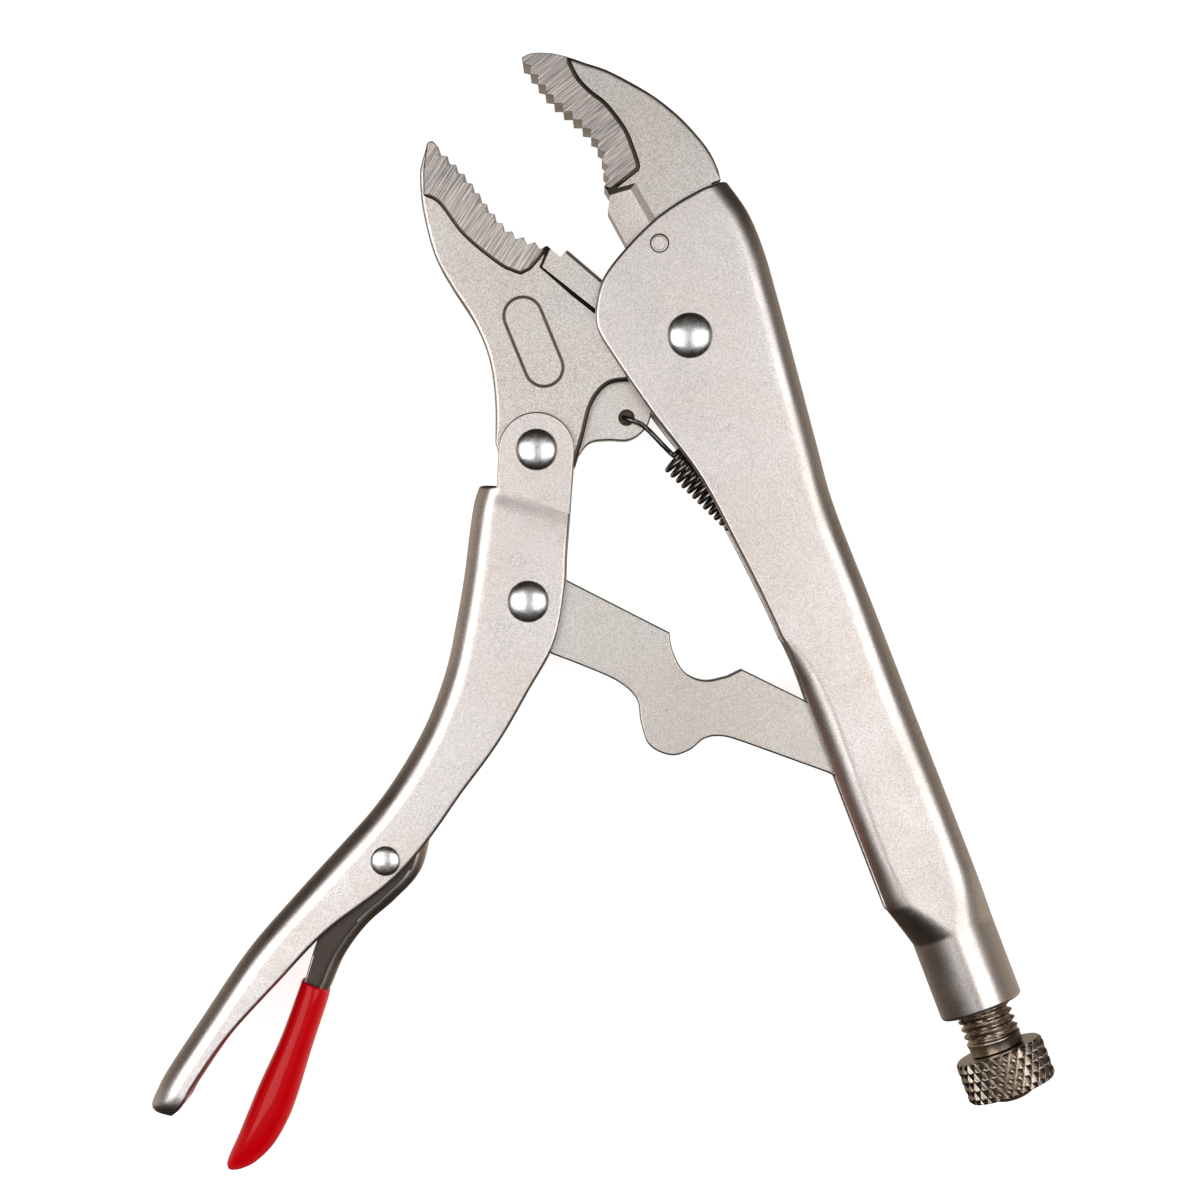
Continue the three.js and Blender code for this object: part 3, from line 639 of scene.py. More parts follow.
class Finish:
    """A material under construction, patterned in Object coordinates."""

    def __init__(self, name, colour, metallic, roughness):
        self.material = bpy.data.materials.new(name)
        self.material.use_nodes = True
        self.nodes = self.material.node_tree.nodes
        self.links = self.material.node_tree.links
        self.shader = self.nodes["Principled BSDF"]
        self.shader.inputs["Base Color"].default_value = (*colour, 1)
        self.shader.inputs["Metallic"].default_value = metallic
        self.shader.inputs["Roughness"].default_value = roughness
        self.colour = None
        self.relief = None

    def noise(self, scale, detail=2.0, stretch=(1, 1, 1), turn=0.0, rough=0.5):
        """Noise at a scale per metre, stretched and turned about Z."""
        place = self.nodes.new("ShaderNodeTexCoord")
        mapping = self.nodes.new("ShaderNodeMapping")
        mapping.inputs["Scale"].default_value = stretch
        turned_first = self.nodes.new("ShaderNodeMapping")
        turned_first.inputs["Rotation"].default_value = (0, 0, -math.radians(turn))
        noise = self.nodes.new("ShaderNodeTexNoise")
        noise.inputs["Scale"].default_value = scale
        noise.inputs["Detail"].default_value = detail
        noise.inputs["Roughness"].default_value = rough
        self.links.new(place.outputs["Object"], turned_first.inputs["Vector"])
        self.links.new(turned_first.outputs[0], mapping.inputs["Vector"])
        self.links.new(mapping.outputs[0], noise.inputs["Vector"])
        return noise.outputs[0]

    def ramp(self, value, *stops):
        """A colour ramp of (place, colour) stops."""
        ramp = self.nodes.new("ShaderNodeValToRGB")
        ramp.color_ramp.elements[0].position = stops[0][0]
        ramp.color_ramp.elements[0].color = (*stops[0][1], 1)
        ramp.color_ramp.elements[1].position = stops[-1][0]
        ramp.color_ramp.elements[1].color = (*stops[-1][1], 1)
        for position, colour in stops[1:-1]:
            ramp.color_ramp.elements.new(position).color = (*colour, 1)
        self.links.new(value, ramp.inputs[0])
        return ramp.outputs[0]

    def tint(self, output, mode="MULTIPLY"):
        """Multiplies the colour by another."""
        socket = self.shader.inputs["Base Color"]
        mix = self.nodes.new("ShaderNodeMix")
        mix.data_type = "RGBA"
        mix.blend_type = mode
        mix.inputs["Factor"].default_value = 1.0
        if self.colour is None:
            mix.inputs[6].default_value = socket.default_value
        else:
            self.links.new(self.colour, mix.inputs[6])
        self.links.new(output, mix.inputs[7])
        self.colour = mix.outputs[2]
        self.links.new(self.colour, socket)
        return self

    def bump(self, value, depth, strength=1.0):
        """Adds relief to a depth in metres."""
        bump = self.nodes.new("ShaderNodeBump")
        bump.inputs["Strength"].default_value = strength
        bump.inputs["Distance"].default_value = depth
        self.links.new(value, bump.inputs["Height"])
        if self.relief is not None:
            self.links.new(self.relief, bump.inputs["Normal"])
        self.relief = bump.outputs[0]
        self.links.new(self.relief, self.shader.inputs["Normal"])
        return self

    def rough(self, value, low, high):
        """Lets the roughness vary between two values."""
        span = self.nodes.new("ShaderNodeMapRange")
        span.inputs["From Min"].default_value = 0.3
        span.inputs["From Max"].default_value = 0.7
        span.inputs["To Min"].default_value = low
        span.inputs["To Max"].default_value = high
        self.links.new(value, span.inputs["Value"])
        self.links.new(span.outputs[0], self.shader.inputs["Roughness"])
        return self


def grey(value):
    """The colour with one value in all three channels."""
    return (value, value, value)


def existing(name, make):
    """A material by name, made the first time it is asked for."""
    return bpy.data.materials.get(name) or make(name)


def blasted_nickel(name, colour, roughness, grain=1.0):
    """Nickel plate over blasted steel, with fine grain and a faint stain."""
    finish = Finish(name, colour, 1.0, roughness)
    speckle = finish.noise(3200, 3.0, rough=0.7)
    finish.tint(finish.ramp(speckle, (0.34, grey(1 - 0.3 * grain)), (0.62, grey(1 + 0.1 * grain))))
    patch = finish.noise(420, 3.0, rough=0.6)
    finish.tint(finish.ramp(patch, (0.3, grey(0.98)), (0.7, grey(1.02))))
    stain = finish.noise(30, 3.0, rough=0.55)
    finish.tint(finish.ramp(stain, (0.42, (1, 1, 1)), (0.7, (0.96, 0.92, 0.87))))
    finish.bump(speckle, 0.000014 * grain)
    finish.rough(finish.noise(120, 2.0), roughness - 0.04, roughness + 0.05)
    return finish.material


# Each plate finish: its colour among the finishes, its roughness and the strength of its grain.
PLATES = {
    "handle_plate": ("nickel", 0.31, 1.0),
    "link_plate": ("link", 0.34, 1.0),
    "jaw_plate": ("jaw", 0.34, 1.3),
    "shaded_plate": ("painted_shade", 0.45, 1.0),
    "groove_plate": ("groove", 0.4, 1.0),
    "lever_plate": ("lever", 0.45, 1.0),
    "rod_end_steel": ("rod_end", 0.42, 1.0),
}


def plated(name):
    """One of the plate finishes, made the first time it is asked for."""
    tone, roughness, grain = PLATES[name]
    tint = getattr(bpy.context.scene.pliers_finishes, tone)
    return existing(name, lambda name: blasted_nickel(name, tint, roughness, grain))


def ground_steel(angle):
    """Bare steel with grinding marks at an angle in the tool's frame."""
    finishes = bpy.context.scene.pliers_finishes

    def make(name):
        """Makes the material the first time."""
        finish = Finish(name, finishes.ground, 1.0, 0.34)
        streaks = finish.noise(1.0, 4.0, (80, 3400, 400), angle, 0.8)
        finish.tint(finish.ramp(streaks, (0.36, grey(0.3)), (0.5, grey(0.85)), (0.64, grey(1.6))))
        broad = finish.noise(1.0, 2.0, (30, 600, 100), angle + 2)
        finish.tint(finish.ramp(broad, (0.35, grey(0.85)), (0.65, grey(1.1))))
        finish.bump(streaks, 0.00003)
        return finish.material

    return existing(f"ground_steel_{round(angle)}", make)


def chrome():
    """Polished plate of the rivet heads, slightly blotched."""
    finishes = bpy.context.scene.pliers_finishes

    def make(name):
        """Makes the material the first time."""
        finish = Finish(name, finishes.chrome, 1.0, 0.16)
        blotch = finish.noise(700, 4.0, rough=0.65)
        finish.rough(blotch, 0.2, 0.32)
        finish.bump(finish.noise(900, 3.0), 0.00002)
        return finish.material

    return existing("rivet_chrome", make)


def dark_nickel():
    """Dark plate of the screw and the knob."""
    finishes = bpy.context.scene.pliers_finishes

    def make(name):
        """Makes the material the first time."""
        finish = Finish(name, finishes.screw, 1.0, 0.27)
        speckle = finish.noise(900, 3.0)
        finish.tint(finish.ramp(speckle, (0.35, grey(0.75)), (0.6, grey(1.1))))
        return finish.material

    return existing("screw_plate", make)


def spring_steel():
    """Oiled wire of the return spring."""
    finishes = bpy.context.scene.pliers_finishes

    def make(name):
        """Makes the material the first time."""
        finish = Finish(name, finishes.spring, 1.0, 0.26)
        finish.tint(finish.ramp(finish.noise(600, 3.0), (0.4, grey(0.7)), (0.6, grey(1.15))))
        return finish.material

    return existing("spring_wire", make)


def red_vinyl():
    """Glossy dipped vinyl of the lever's grip."""
    finishes = bpy.context.scene.pliers_finishes

    def make(name):
        """Makes the material the first time."""
        finish = Finish(name, finishes.vinyl, 0.0, 0.3)
        finish.shader.inputs["Coat Weight"].default_value = 0.35
        finish.shader.inputs["Coat Roughness"].default_value = 0.03
        finish.shader.inputs["Specular IOR Level"].default_value = 0.06
        finish.bump(finish.noise(90, 2.0), 0.00006)
        return finish.material

    return existing("grip_vinyl", make)


# ---- Sizes and colours ----

def length(label, value, note):
    """A size property given in millimetres."""
    return bpy.props.FloatProperty(
        name=label, description=note, default=value * MM, min=0, unit="LENGTH", precision=5
    )


def colour(label, value, note):
    """A colour property."""
    return bpy.props.FloatVectorProperty(
        name=label, description=note, default=value, size=3, subtype="COLOR", min=0, max=1
    )


class PliersSheet(bpy.types.PropertyGroup):
    """Sheet metal of the handles and the lever."""
    frame_sheet: length("Fixed Handle Sheet", 2.6, "Sheet of the fixed handle")
    frame_bend: length("Fixed Handle Bend", 4.8, "Outer radius of the fixed handle's bends")
    handle_sheet: length("Moving Handle Sheet", 2.3, "Sheet of the moving handle")
    handle_bend: length("Moving Handle Bend", 4.5, "Outer radius of the moving handle's bends")
    lever_sheet: length("Lever Sheet", 1.5, "Sheet of the release lever")
    outer_round: length("Outer Edge Round", 0.75, "Rounding of the sheet's outer edges")
    inner_round: length("Inner Edge Round", 0.25, "Rounding of the sheet's inner edges")


class PliersJaws(bpy.types.PropertyGroup):
    """Jaws and their ground teeth."""
    tooth_pitch: length("Tooth Pitch", 2.8, "From tooth to tooth")
    tooth_depth: length("Tooth Depth", 1.2, "Depth of the teeth")
    ground_proud: length("Ground Land", 0.4, "Height of the ground lands above the jaws' faces")
    land_border: length("Land Border", 1.1, "Width of the slope round a ground land")
    lower_border: length("Lower Land Border", 0.8, "Width of the slope round the moving jaw's lands")
    draft: length("Draft", 0.9, "Width of the slope along the jaws' backs")
    step: length("Cutter Step", 0.8, "Depth of the faces beside the cutting edges")
    groove: length("Panel Groove", 0.35, "Depth of the groove round the plain panel")


class PliersScrew(bpy.types.PropertyGroup):
    """Adjusting screw and knob."""
    thread_pitch: length("Thread Pitch", 1.75, "From thread to thread")
    thread_depth: length("Thread Depth", 0.95, "Depth of the thread")
    knurl_depth: length("Knurl Depth", 0.7, "Depth of the knob's knurl")
    knurl_starts: bpy.props.IntProperty(
        name="Knurl Starts", description="Grooves of the knurl in each direction", default=27, min=3
    )
    coil_pitch: length("Coil Pitch", 1.65, "From turn to turn of the return spring")
    wire: length("Spring Wire", 0.55, "Radius of the return spring's wire")


class PliersFinishes(bpy.types.PropertyGroup):
    """Colours of the metals and the grip, and three tones of painted shade for grooves, steps and the lever.
    """
    nickel: colour("Satin Nickel", (0.84, 0.785, 0.765), "Blasted nickel plate of the handles")
    link: colour("Link Nickel", (0.72, 0.68, 0.655), "Plate of the toggle link")
    jaw: colour("Jaw Nickel", (0.77, 0.72, 0.685), "Plate of the jaws")
    # Painted shade: a near-black plate laid where shade falls, in the pin grooves, on step walls, land
    # borders, the tab's waist, the tab's hole web and the cutting-edge strip.
    painted_shade: colour("Shaded Nickel", (0.12, 0.095, 0.076), "Plate in grooves and steps")
    ground: colour("Ground Steel", (0.56, 0.51, 0.48), "Bare ground steel of the lands")
    chrome: colour("Rivet Chrome", (0.8, 0.8, 0.8), "Polished rivet heads")
    screw: colour("Screw Nickel", (0.52, 0.44, 0.37), "Dark plate of the screw and knob")
    # Painted shade: a darker plate in the panel's groove and on the fixed jaw's cutter step walls, where
    # shade falls.
    groove: colour("Groove", (0.4, 0.35, 0.31), "Plate in the panel's groove and on the cutter steps")
    # Painted shade: a near-black plate on the lever's flat walls, which lie in shade inside the moving
    # handle.
    lever: colour("Lever Nickel", (0.11, 0.09, 0.08), "Dark plate of the lever's walls")
    rod_end: colour("Rod End", (0.62, 0.61, 0.6), "Bare end of the screw")
    spring: colour("Spring Steel", (0.3, 0.28, 0.27), "Oiled wire of the return spring")
    vinyl: colour("Vinyl", (0.95, 0.0, 0.006), "Dipped grip of the release lever")


# ---- Fixed handle ----

NECK_FROM_END = 23.8      # open end of the tube back to where the channel has closed
PIN = (1.0, 20.8)         # the pin that keeps the fixed jaw
PIN_RADIUS = 1.52         # its visible end, inside the groove
PIN_GROOVE_RADIUS = 2.1
PIN_GROOVE_DEPTH = 0.4


class PLIERS_OT_fixed_handle(bpy.types.Operator):
    """Folded handle that closes from an open channel at the nose to a slit tube at the screw"""
    bl_idname = "pliers.fixed_handle"
    bl_label = "Fixed Handle"

    def execute(self, context):
        sizes = context.scene.pliers_sheet
        sheet = sizes.frame_sheet / MM
        low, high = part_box("fixed_handle")
        half = (high.z - low.z) / 2 / MM
        top = (high.y - TOOL.translation.y) / MM
        end = (TOOL.translation.y - low.y) / MM
        axis = (joint_point("knob_turn").x - TOOL.translation.x) / MM
        neck = NECK_FROM_END - end
        spine = [
            (28.6, 19.4), (20.6, 21.4), (12.3, 21.7), (3, 21), (-15.7, 19.1), (-30.7, 17.5),
            (-44.4, 16.2), (-70, axis + half - 0.4), (-105.5, axis + half - 0.2), (neck, axis + half),
        ]
        edge = [
            (28.6, 14), (28, 9.3), (26.3, 2.4), (22.3, -6.5), (18.1, -13), (12.3, -17), (8.3, -18.1),
            (1.4, -16.9), (-12.5, -13.5), (-28.9, -8.8), (-44, -6.8), (-61, -5.1), (-74, -4.5), (-84, -4.6),
            (neck + 3.6, -4.5), (neck + 2, -3.9), (neck - 2, -2.6), (neck - 6, axis - half),
        ]
        lip_start, lip_done = -68, -86
        straight = half - sheet / 2
        bend = sizes.frame_bend / MM
        slot = [(lip_start, straight), (lip_done, 5), (neck + 6, 5), (neck - 6, 0.25)]
        round_line = [(-62, bend), (lip_done, 5.6), (neck + 6, 5.6), (neck - 6, half - 0.2)]
        lip_line = [(lip_done, 5), (neck + 6, 5), (neck - 6, half - 0.2)]
        levels = ladder(
            (top, top - 0.8, 0.1), (top - 0.8, 17, 0.28), (17, -62, 1.4), (-62, lip_done, 1.0),
            (lip_done, neck + 7, 1.6), (neck + 7, neck - 9, 0.35), (neck - 9, 1 - end, 1.2),
            (1 - end, -end, 0.12),
        )
        stations = [
            (
                value_at(spine, y), y, value_at(edge, y), y, half, value_at(round_line, y),
                value_at(lip_line, y), min(straight, value_at(slot, y)),
            )
            for y in levels
        ]
        border = [(value_at(spine, top), top)]
        border += [(value_at(edge, y), y) for y in ladder((top, lip_start, 0.7))]

        def gap_at(index, x, y, turn, left):
            """How far a point of the sheet lies from the nearest cut edge."""
            near = min(left, y + end)
            if y >= lip_start and (left < 40 or top - y < 4):
                near = min(near, gap_to_line(x, y, border))
            return near

        rings = channel_rings(
            stations, sheet, sizes.outer_round / MM, sizes.inner_round / MM, gap_at, 46
        )
        handle = add_piece("fixed_handle_body", *skin(rings), TOOL, [plated("handle_plate")], SHEET_SHARP)
        # Painted shade: the groove round each end of the pin takes the near-black plate of the drill.
        for sign in (-1, 1):
            low, high = sign * half - PIN_GROOVE_DEPTH, sign * half + PIN_GROOVE_DEPTH
            tool = drill(TOOL, PIN, PIN_GROOVE_RADIUS, low, high, plated("shaded_plate"))
            combined(handle, tool, "DIFFERENCE")
        weighted(handle, SHEET_SHARP)
        kept(handle, "fixed_handle", "fixed_half", "satin_nickel")
        return {"FINISHED"}


class PLIERS_OT_retaining_pin(bpy.types.Operator):
    """Flush pin that keeps the fixed jaw in the handle, with a narrow groove round each end"""
    bl_idname = "pliers.retaining_pin"
    bl_label = "Retaining Pin"

    def execute(self, context):
        low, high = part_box("jaw_retaining_pin")
        centre = (low + high) / 2
        radius = (high.x - low.x) / 2 / MM
        half = (high.z - low.z) / 2 / MM
        place = Matrix.Translation(centre) @ Matrix.Scale(MM, 4)
        floor = half - PIN_GROOVE_DEPTH
        profile = [
            (0.01, half), (PIN_RADIUS - 0.1, half), (PIN_RADIUS, half - 0.08), (PIN_RADIUS, floor + 0.02),
            (radius, floor - 0.01),
        ]
        profile += [(r, -z) for r, z in reversed(profile)]
        rings = [[(r * math.cos(a), r * math.sin(a), z) for a in circle(48)] for r, z in profile]
        pin = add_piece("retaining_pin", *skin(rings), place, [plated("handle_plate")])
        kept(pin, "jaw_retaining_pin", "fixed_half", "satin_nickel")
        return {"FINISHED"}


def circle(count):
    """Angles all the way round, in radians."""
    return [2 * math.pi * i / count for i in range(count)]


# ---- Jaws ----

CUTTER_TOP = (-6.7, 31.7)
CUTTER_HEEL = (-4.2, 12.4)
HUB = 11.3                # radius of the moving jaw's hub
JAW_GAP = 0.3             # between the two cutting edges when the jaws are closed
LAND_ROOT = 1.0           # how far a land reaches down into its jaw
JAW_SHARP = 25            # degrees
LEVEL = 0.9995            # a face whose normal's height passes this counts as flat
TOOTH_EASE = 0.3
TAB_HALF = 3.0            # half the thickness of the spring tab
TAB_HOLE = (-18.8, -11.3)
TAB_HOLE_RADIUS = 1.8
TAB_SHADE_WEB = 0.3             # half the thickness of the web left in the tab's hole, a near-black sheet of painted shade that darkens the hole
EDGE_SHADE_STRIP = 0.75         # width of the near-black strip of painted shade along the lower cutting edge


def both_sides(piece, make):
    """Cuts a piece on both sides with a tool made for each."""
    for sign in (-1, 1):
        combined(piece, make(sign), "DIFFERENCE")


def recess(name, lower, upper, half, depth, place, material, sign):
    """A tool that sinks an area, from a smaller outline at its floor to a larger one above the face."""
    over = 0.6
    floor, top = half - depth, half + over
    grow = (depth + over) / depth
    wide = [
        (a[0] + (b[0] - a[0]) * grow, a[1] + (b[1] - a[1]) * grow) for a, b in zip(lower, upper)
    ]
    if sign > 0:
        return prism(name, lower, wide, floor, top, place, material)
    return prism(name, wide, lower, -top, -floor, place, material)


def groove_loop(points, width, depth, half, place, material, sign):
    """A tool that cuts a groove along a closed line."""
    rings = []
    count = len(points)
    for i, (x, y) in enumerate(points):
        back, ahead = points[i - 1], points[(i + 1) % count]
        across = Vector((-(ahead[1] - back[1]), ahead[0] - back[0])).normalized()
        rings.append([
            (x + across.x * u, y + across.y * u, sign * z)
            for u, z in ((-width, half + depth), (0, half - depth), (width, half + depth))
        ])
    rings.append(rings[0])
    vertices, faces = skin(rings, ends=False)
    return add_piece("groove", vertices, faces, place, [material])


def shade_slopes(piece, slot, teeth_run):
    """Gives a land's slopes a second finish, the near-black plate of painted shade, except along its teeth.
    """
    into = TOOL.inverted()
    for face in piece.data.polygons:
        if abs(face.normal.z) > LEVEL:
            continue
        x, y, _ = into @ face.center
        if gap_to_line(x, y, teeth_run) > TOOTH_EASE:
            face.material_index = slot


def paint_floor(piece, height):
    """Gives the flat floor of a recess the piece's first finish."""
    for face in piece.data.polygons:
        level = abs(piece.data.vertices[face.vertices[0]].co.z - TOOL.translation.z) / MM
        if abs(face.normal.z) > 0.98 and abs(level - height) < 0.02:
            face.material_index = 0


def add_lands(jaw, outline, tooth_line, half, proud, grinding):
    """Adds a ground land to both sides of a jaw, with its grinding marks at an angle."""
    for sign in (-1, 1):
        low, high = sorted((sign * (half - LAND_ROOT), sign * (half + proud)))
        # The second finish is painted shade on the land's border slopes.
        finishes = [ground_steel(grinding), plated("shaded_plate")]
        land = plate("land", outline, low, high, TOOL, finishes, JAW_SHARP)
        shade_slopes(land, 1, tooth_line)
        combined(jaw, land, "UNION")


def sink_steps(jaw, floor, rim, half, step, walls):
    """Sinks the face beside a cutting edge on both sides of a jaw, with a darker plate of painted shade on
    the walls.
    """
    both_sides(jaw, lambda sign: recess("step", floor, rim, half, step, TOOL, plated(walls), sign))
    paint_floor(jaw, half - step)


class PLIERS_OT_fixed_jaw(bpy.types.Operator):
    """Fixed jaw with its ground tooth lands and the recessed face beside its cutting edge"""
    bl_idname = "pliers.fixed_jaw"
    bl_label = "Fixed Jaw"

    def execute(self, context):
        sizes = context.scene.pliers_jaws
        proud = sizes.ground_proud / MM
        half = top_of("fixed_jaw") - proud
        draft = sizes.draft / MM
        border = sizes.land_border / MM
        tips = [
            (-12.6, 67.6), (-11.4, 63.4), (-9.8, 58.2), (-6.6, 52.2), (-4.6, 47.6), (-4.1, 42.6),
            (-5.6, 36.8),
        ]
        tooth_line = teeth(tips, sizes.tooth_pitch / MM, sizes.tooth_depth / MM)
        socket = HUB + 0.4
        mouth = math.degrees(math.acos(CUTTER_HEEL[0] / socket))
        back = [
            (18.6, 31.7), (18.3, 35.4), (17.1, 39.6), (14.8, 45.2), (11.4, 51), (7.6, 55.8), (3.7, 60.1),
            (-0.1, 63.2), (-2.6, 65.3), (-5.7, 67.4), (-8.6, 68.7), (-10.6, 69.2), (-12.3, 68.9),
        ]
        inside = [(16.9, -3), (17.3, 3), (18, 9), (18.3, 15), (17.6, 21), (16.2, 28.6), (16.2, 29.1)]
        outline = (
            eased(tooth_line, 0.15)
            + eased([(-5.2, 34.4)], 0.3)
            + eased([CUTTER_TOP, CUTTER_HEEL], 0.25)
            + eased(arc((0, 0), socket, mouth, math.degrees(math.asin(-3 / socket))), 0.25)
            + eased(inside, 0.25)
            + faded([(18.3, 29.1), (18.6, 31.2)], 0.3, draft)
            + eased(curve(back, 3)[1:-12], draft)
            + faded(curve(back, 3)[-12:], draft, 0.15)
        )
        jaw = plate("fixed_jaw_body", outline, -half, half, TOOL, [plated("jaw_plate")], JAW_SHARP)
        bound = [
            (3.5, 39.1), (3.6, 42.4), (3.5, 46.3), (2.6, 50), (1.3, 53.8), (-0.7, 57.1), (-2.2, 60.8),
            (-2.6, 64.9),
        ]
        tip = [(-2.6, 65.2), (-5.7, 67.3), (-8.6, 68.6), (-10.6, 69.1), (-12.2, 68.8)]
        land_outline = (
            eased(tooth_line, 0.12)
            + eased([(-5.2, 35.3), (-4.9, 34.7), (-0.9, 36), (2.6, 37.1), (3.3, 37.9)], border)
            + eased(curve(bound, 4), border)
            + eased(curve(tip, 4)[1:], 0.15)
        )
        add_lands(jaw, land_outline, tooth_line, half, proud, grinding=18)
        step = sizes.step / MM
        floor = [(-9, 35.9), (-9, 20), (1.5, 20), (0.6, 27), (-0.5, 34.2), (-5.4, 34.6)]
        rim = [(-9, 36.6), (-9, 19), (3.0, 19), (2.1, 27.2), (0.9, 35), (-5.2, 35.6)]
        # The step walls take the groove tone, painted shade.
        sink_steps(jaw, floor, rim, half, step, walls="groove_plate")
        weighted(jaw)
        kept(jaw, "fixed_jaw", "fixed_half", "jaw_steel")
        return {"FINISHED"}


class PLIERS_OT_moving_jaw(bpy.types.Operator):
    """Moving jaw with its ground tooth lands, plain panel, cutter face and thinner spring tab"""
    bl_idname = "pliers.moving_jaw"
    bl_label = "Moving Jaw"

    def execute(self, context):
        sizes = context.scene.pliers_jaws
        proud = sizes.ground_proud / MM
        half = top_of("moving_jaw") - proud
        draft = sizes.draft / MM
        border = sizes.lower_border / MM
        closing = -next(j["range_deg"][0] for j in frame["joints"] if j["name"] == "jaw_pivot")
        edge_top = turned((CUTTER_TOP[0] - JAW_GAP, CUTTER_TOP[1]), closing)
        line_x = CUTTER_HEEL[0] - JAW_GAP
        edge_heel = turned((line_x, CUTTER_HEEL[1]), closing)
        root = math.degrees(math.acos(line_x / HUB)) + closing
        tips = [
            (-21.6, 29.2), (-24.1, 31.1), (-28, 35.4), (-30.2, 41), (-31.6, 46.4), (-33.3, 51.4),
            (-35.9, 57.3),
        ]
        tooth_line = teeth(tips[::-1], sizes.tooth_pitch / MM, -sizes.tooth_depth / MM)[::-1]
        jaw_rivet = tuple(TOOL.inverted() @ joint_point("handle_pivot"))[:2]
        back = [
            (-38.6, 58), (-40.6, 55.3), (-41.9, 52.9), (-43.9, 45.9), (-45, 36), (-44, 28.2), (-42.2, 19.5),
            (-42, 11), (-43.9, 2.4), (-47.2, -6.5),
        ]
        waist = [(-33, -17.2), (-29, -12), (-24.6, -6), (-20, -3.4), (-15.6, -4.2)]
        outline = (
            eased(tooth_line, 0.15)
            + eased(arc((-37.3, 58.1), 1.1, 40, 130, 15), 0.15)
            + faded(curve(back, 6)[:18], 0.3, draft)
            + eased(curve(back, 6)[18:-4], draft)
            + faded(curve(back, 6)[-4:], draft, 0.4)
            + eased(arc(jaw_rivet, 8, 175, 300), 0.4)
            + eased(curve(waist), 0.9)
            + eased(arc((0, 0), HUB, 205, 360 + root, 4), 0.25)
            + eased([edge_heel, edge_top, (-19.8, 26)], 0.25)
        )
        finishes = [plated("jaw_plate"), plated("shaded_plate")]
        jaw = plate("moving_jaw_body", outline, -half, half, TOOL, finishes, JAW_SHARP)
        # Painted shade: the sloped faces along the waist take the near-black plate, as a dark line where the
        # step round the tab is in shade.
        into = TOOL.inverted()
        for face in jaw.data.polygons:
            x, y, _ = into @ face.center
            if abs(face.normal.z) < LEVEL and gap_to_line(x, y, curve(waist)) < 1:
                face.material_index = 1
        bound = [(-38.4, 58), (-40.6, 54), (-42.6, 48.8)]
        inner = [(-42.2, 48.2), (-40.2, 45.7), (-37.8, 37.6), (-33.1, 29.3), (-30.4, 26.3), (-29.1, 25.3)]
        foot = [(-26.8, 25.5), (-24, 27), (-21.8, 28.4)]
        land_outline = (
            eased(tooth_line, 0.12)
            + eased(arc((-37.3, 57.9), 1, 40, 130, 15), 0.12)
            + eased(curve(bound)[:-1], 0.25)
            + faded(curve(bound)[-1:] + [(-42.2, 48.2)], 0.3, border)
            + eased(curve(inner)[1:], border)
            + eased(curve(foot)[:-3], border)
            + faded(curve(foot)[-3:], border, 0.15)
        )
        add_lands(jaw, land_outline, tooth_line, half, proud, grinding=36)
        step = sizes.step / MM
        floor = [(-24.2, 25.4), (-16.6, 12.6), (-11, 14), (-9, 22), (-18, 29), (-21, 28.6)]
        rim = [(-24.9, 25.5), (-17.2, 11.6), (-10, 12.6), (-8, 22), (-17, 30), (-21.6, 29.4)]
        # The step walls take the near-black plate, painted shade.
        sink_steps(jaw, floor, rim, half, step, walls="shaded_plate")
        tab_foot = [
            (-10.6, -7), (-13.4, -12.4), (-16, -15), (-20, -16), (-24.5, -14.3), (-28.5, -13.6),
            (-32.6, -16.2),
        ]
        tab_outline = (
            eased([(-10, -3)], 0.3) + eased(curve(tab_foot), 0.35) + eased([(-31, -10), (-24, -2)], 0.3)
        )
        tab = plate("tab", tab_outline, -TAB_HALF, TAB_HALF, TOOL, [plated("jaw_plate")], JAW_SHARP)
        combined(jaw, tab, "UNION")
        # Painted shade: the hole is drilled from each side, leaving a near-black web in its middle.
        for low, high in ((-9, -TAB_SHADE_WEB), (TAB_SHADE_WEB, 9)):
            hole = drill(TOOL, TAB_HOLE, TAB_HOLE_RADIUS, low, high, plated("shaded_plate"))
            combined(jaw, hole, "DIFFERENCE")
        panel_top, panel_foot, panel_radius = (-31.9, 16.9), (-31.6, 5.0), 4.1
        loop = arc(panel_top, panel_radius, 0, 180, 8) + arc(panel_foot, panel_radius, 180, 360, 8)
        groove, groove_half = sizes.groove / MM, 0.7
        # Painted shade: the panel's groove takes the darker groove tone.
        tone = plated("groove_plate")
        both_sides(jaw, lambda sign: groove_loop(loop, groove_half, groove, half, TOOL, tone, sign))
        weighted(jaw)
        # Painted shade: a thin near-black sheet lies just proud of the step's floor along the cutting edge,
        # standing in for a shaded bevel.
        along = (Vector(edge_heel) - Vector(edge_top)).normalized()
        inward = Vector((along.y, -along.x)) * EDGE_SHADE_STRIP
        start, end = Vector(edge_top) + along * 0.3, Vector(edge_heel) - along
        strip = [tuple(start), tuple(end), tuple(end + inward), tuple(start + inward)]
        for sign in (-1, 1):
            low, high = sorted((sign * (half - step - 0.3), sign * (half - step + 0.02)))
            dark = prism("edge_shade_strip", strip, strip, low, high, TOOL, plated("shaded_plate"))
            joined_with_finish(jaw, dark)
        kept(jaw, "moving_jaw", "jaw", "jaw_steel")
        return {"FINISHED"}


# ---- Rivets ----

RIVETS = {
    "main_pivot_rivet": ("fixed_half", TOOL, (0.0, 0.0)),
    "jaw_handle_rivet": ("handle", HANDLE, JAW_RIVET),
    "handle_link_rivet": ("handle", HANDLE, LINK_RIVET),
    "release_lever_rivet": ("handle", HANDLE, LEVER_RIVET),
}


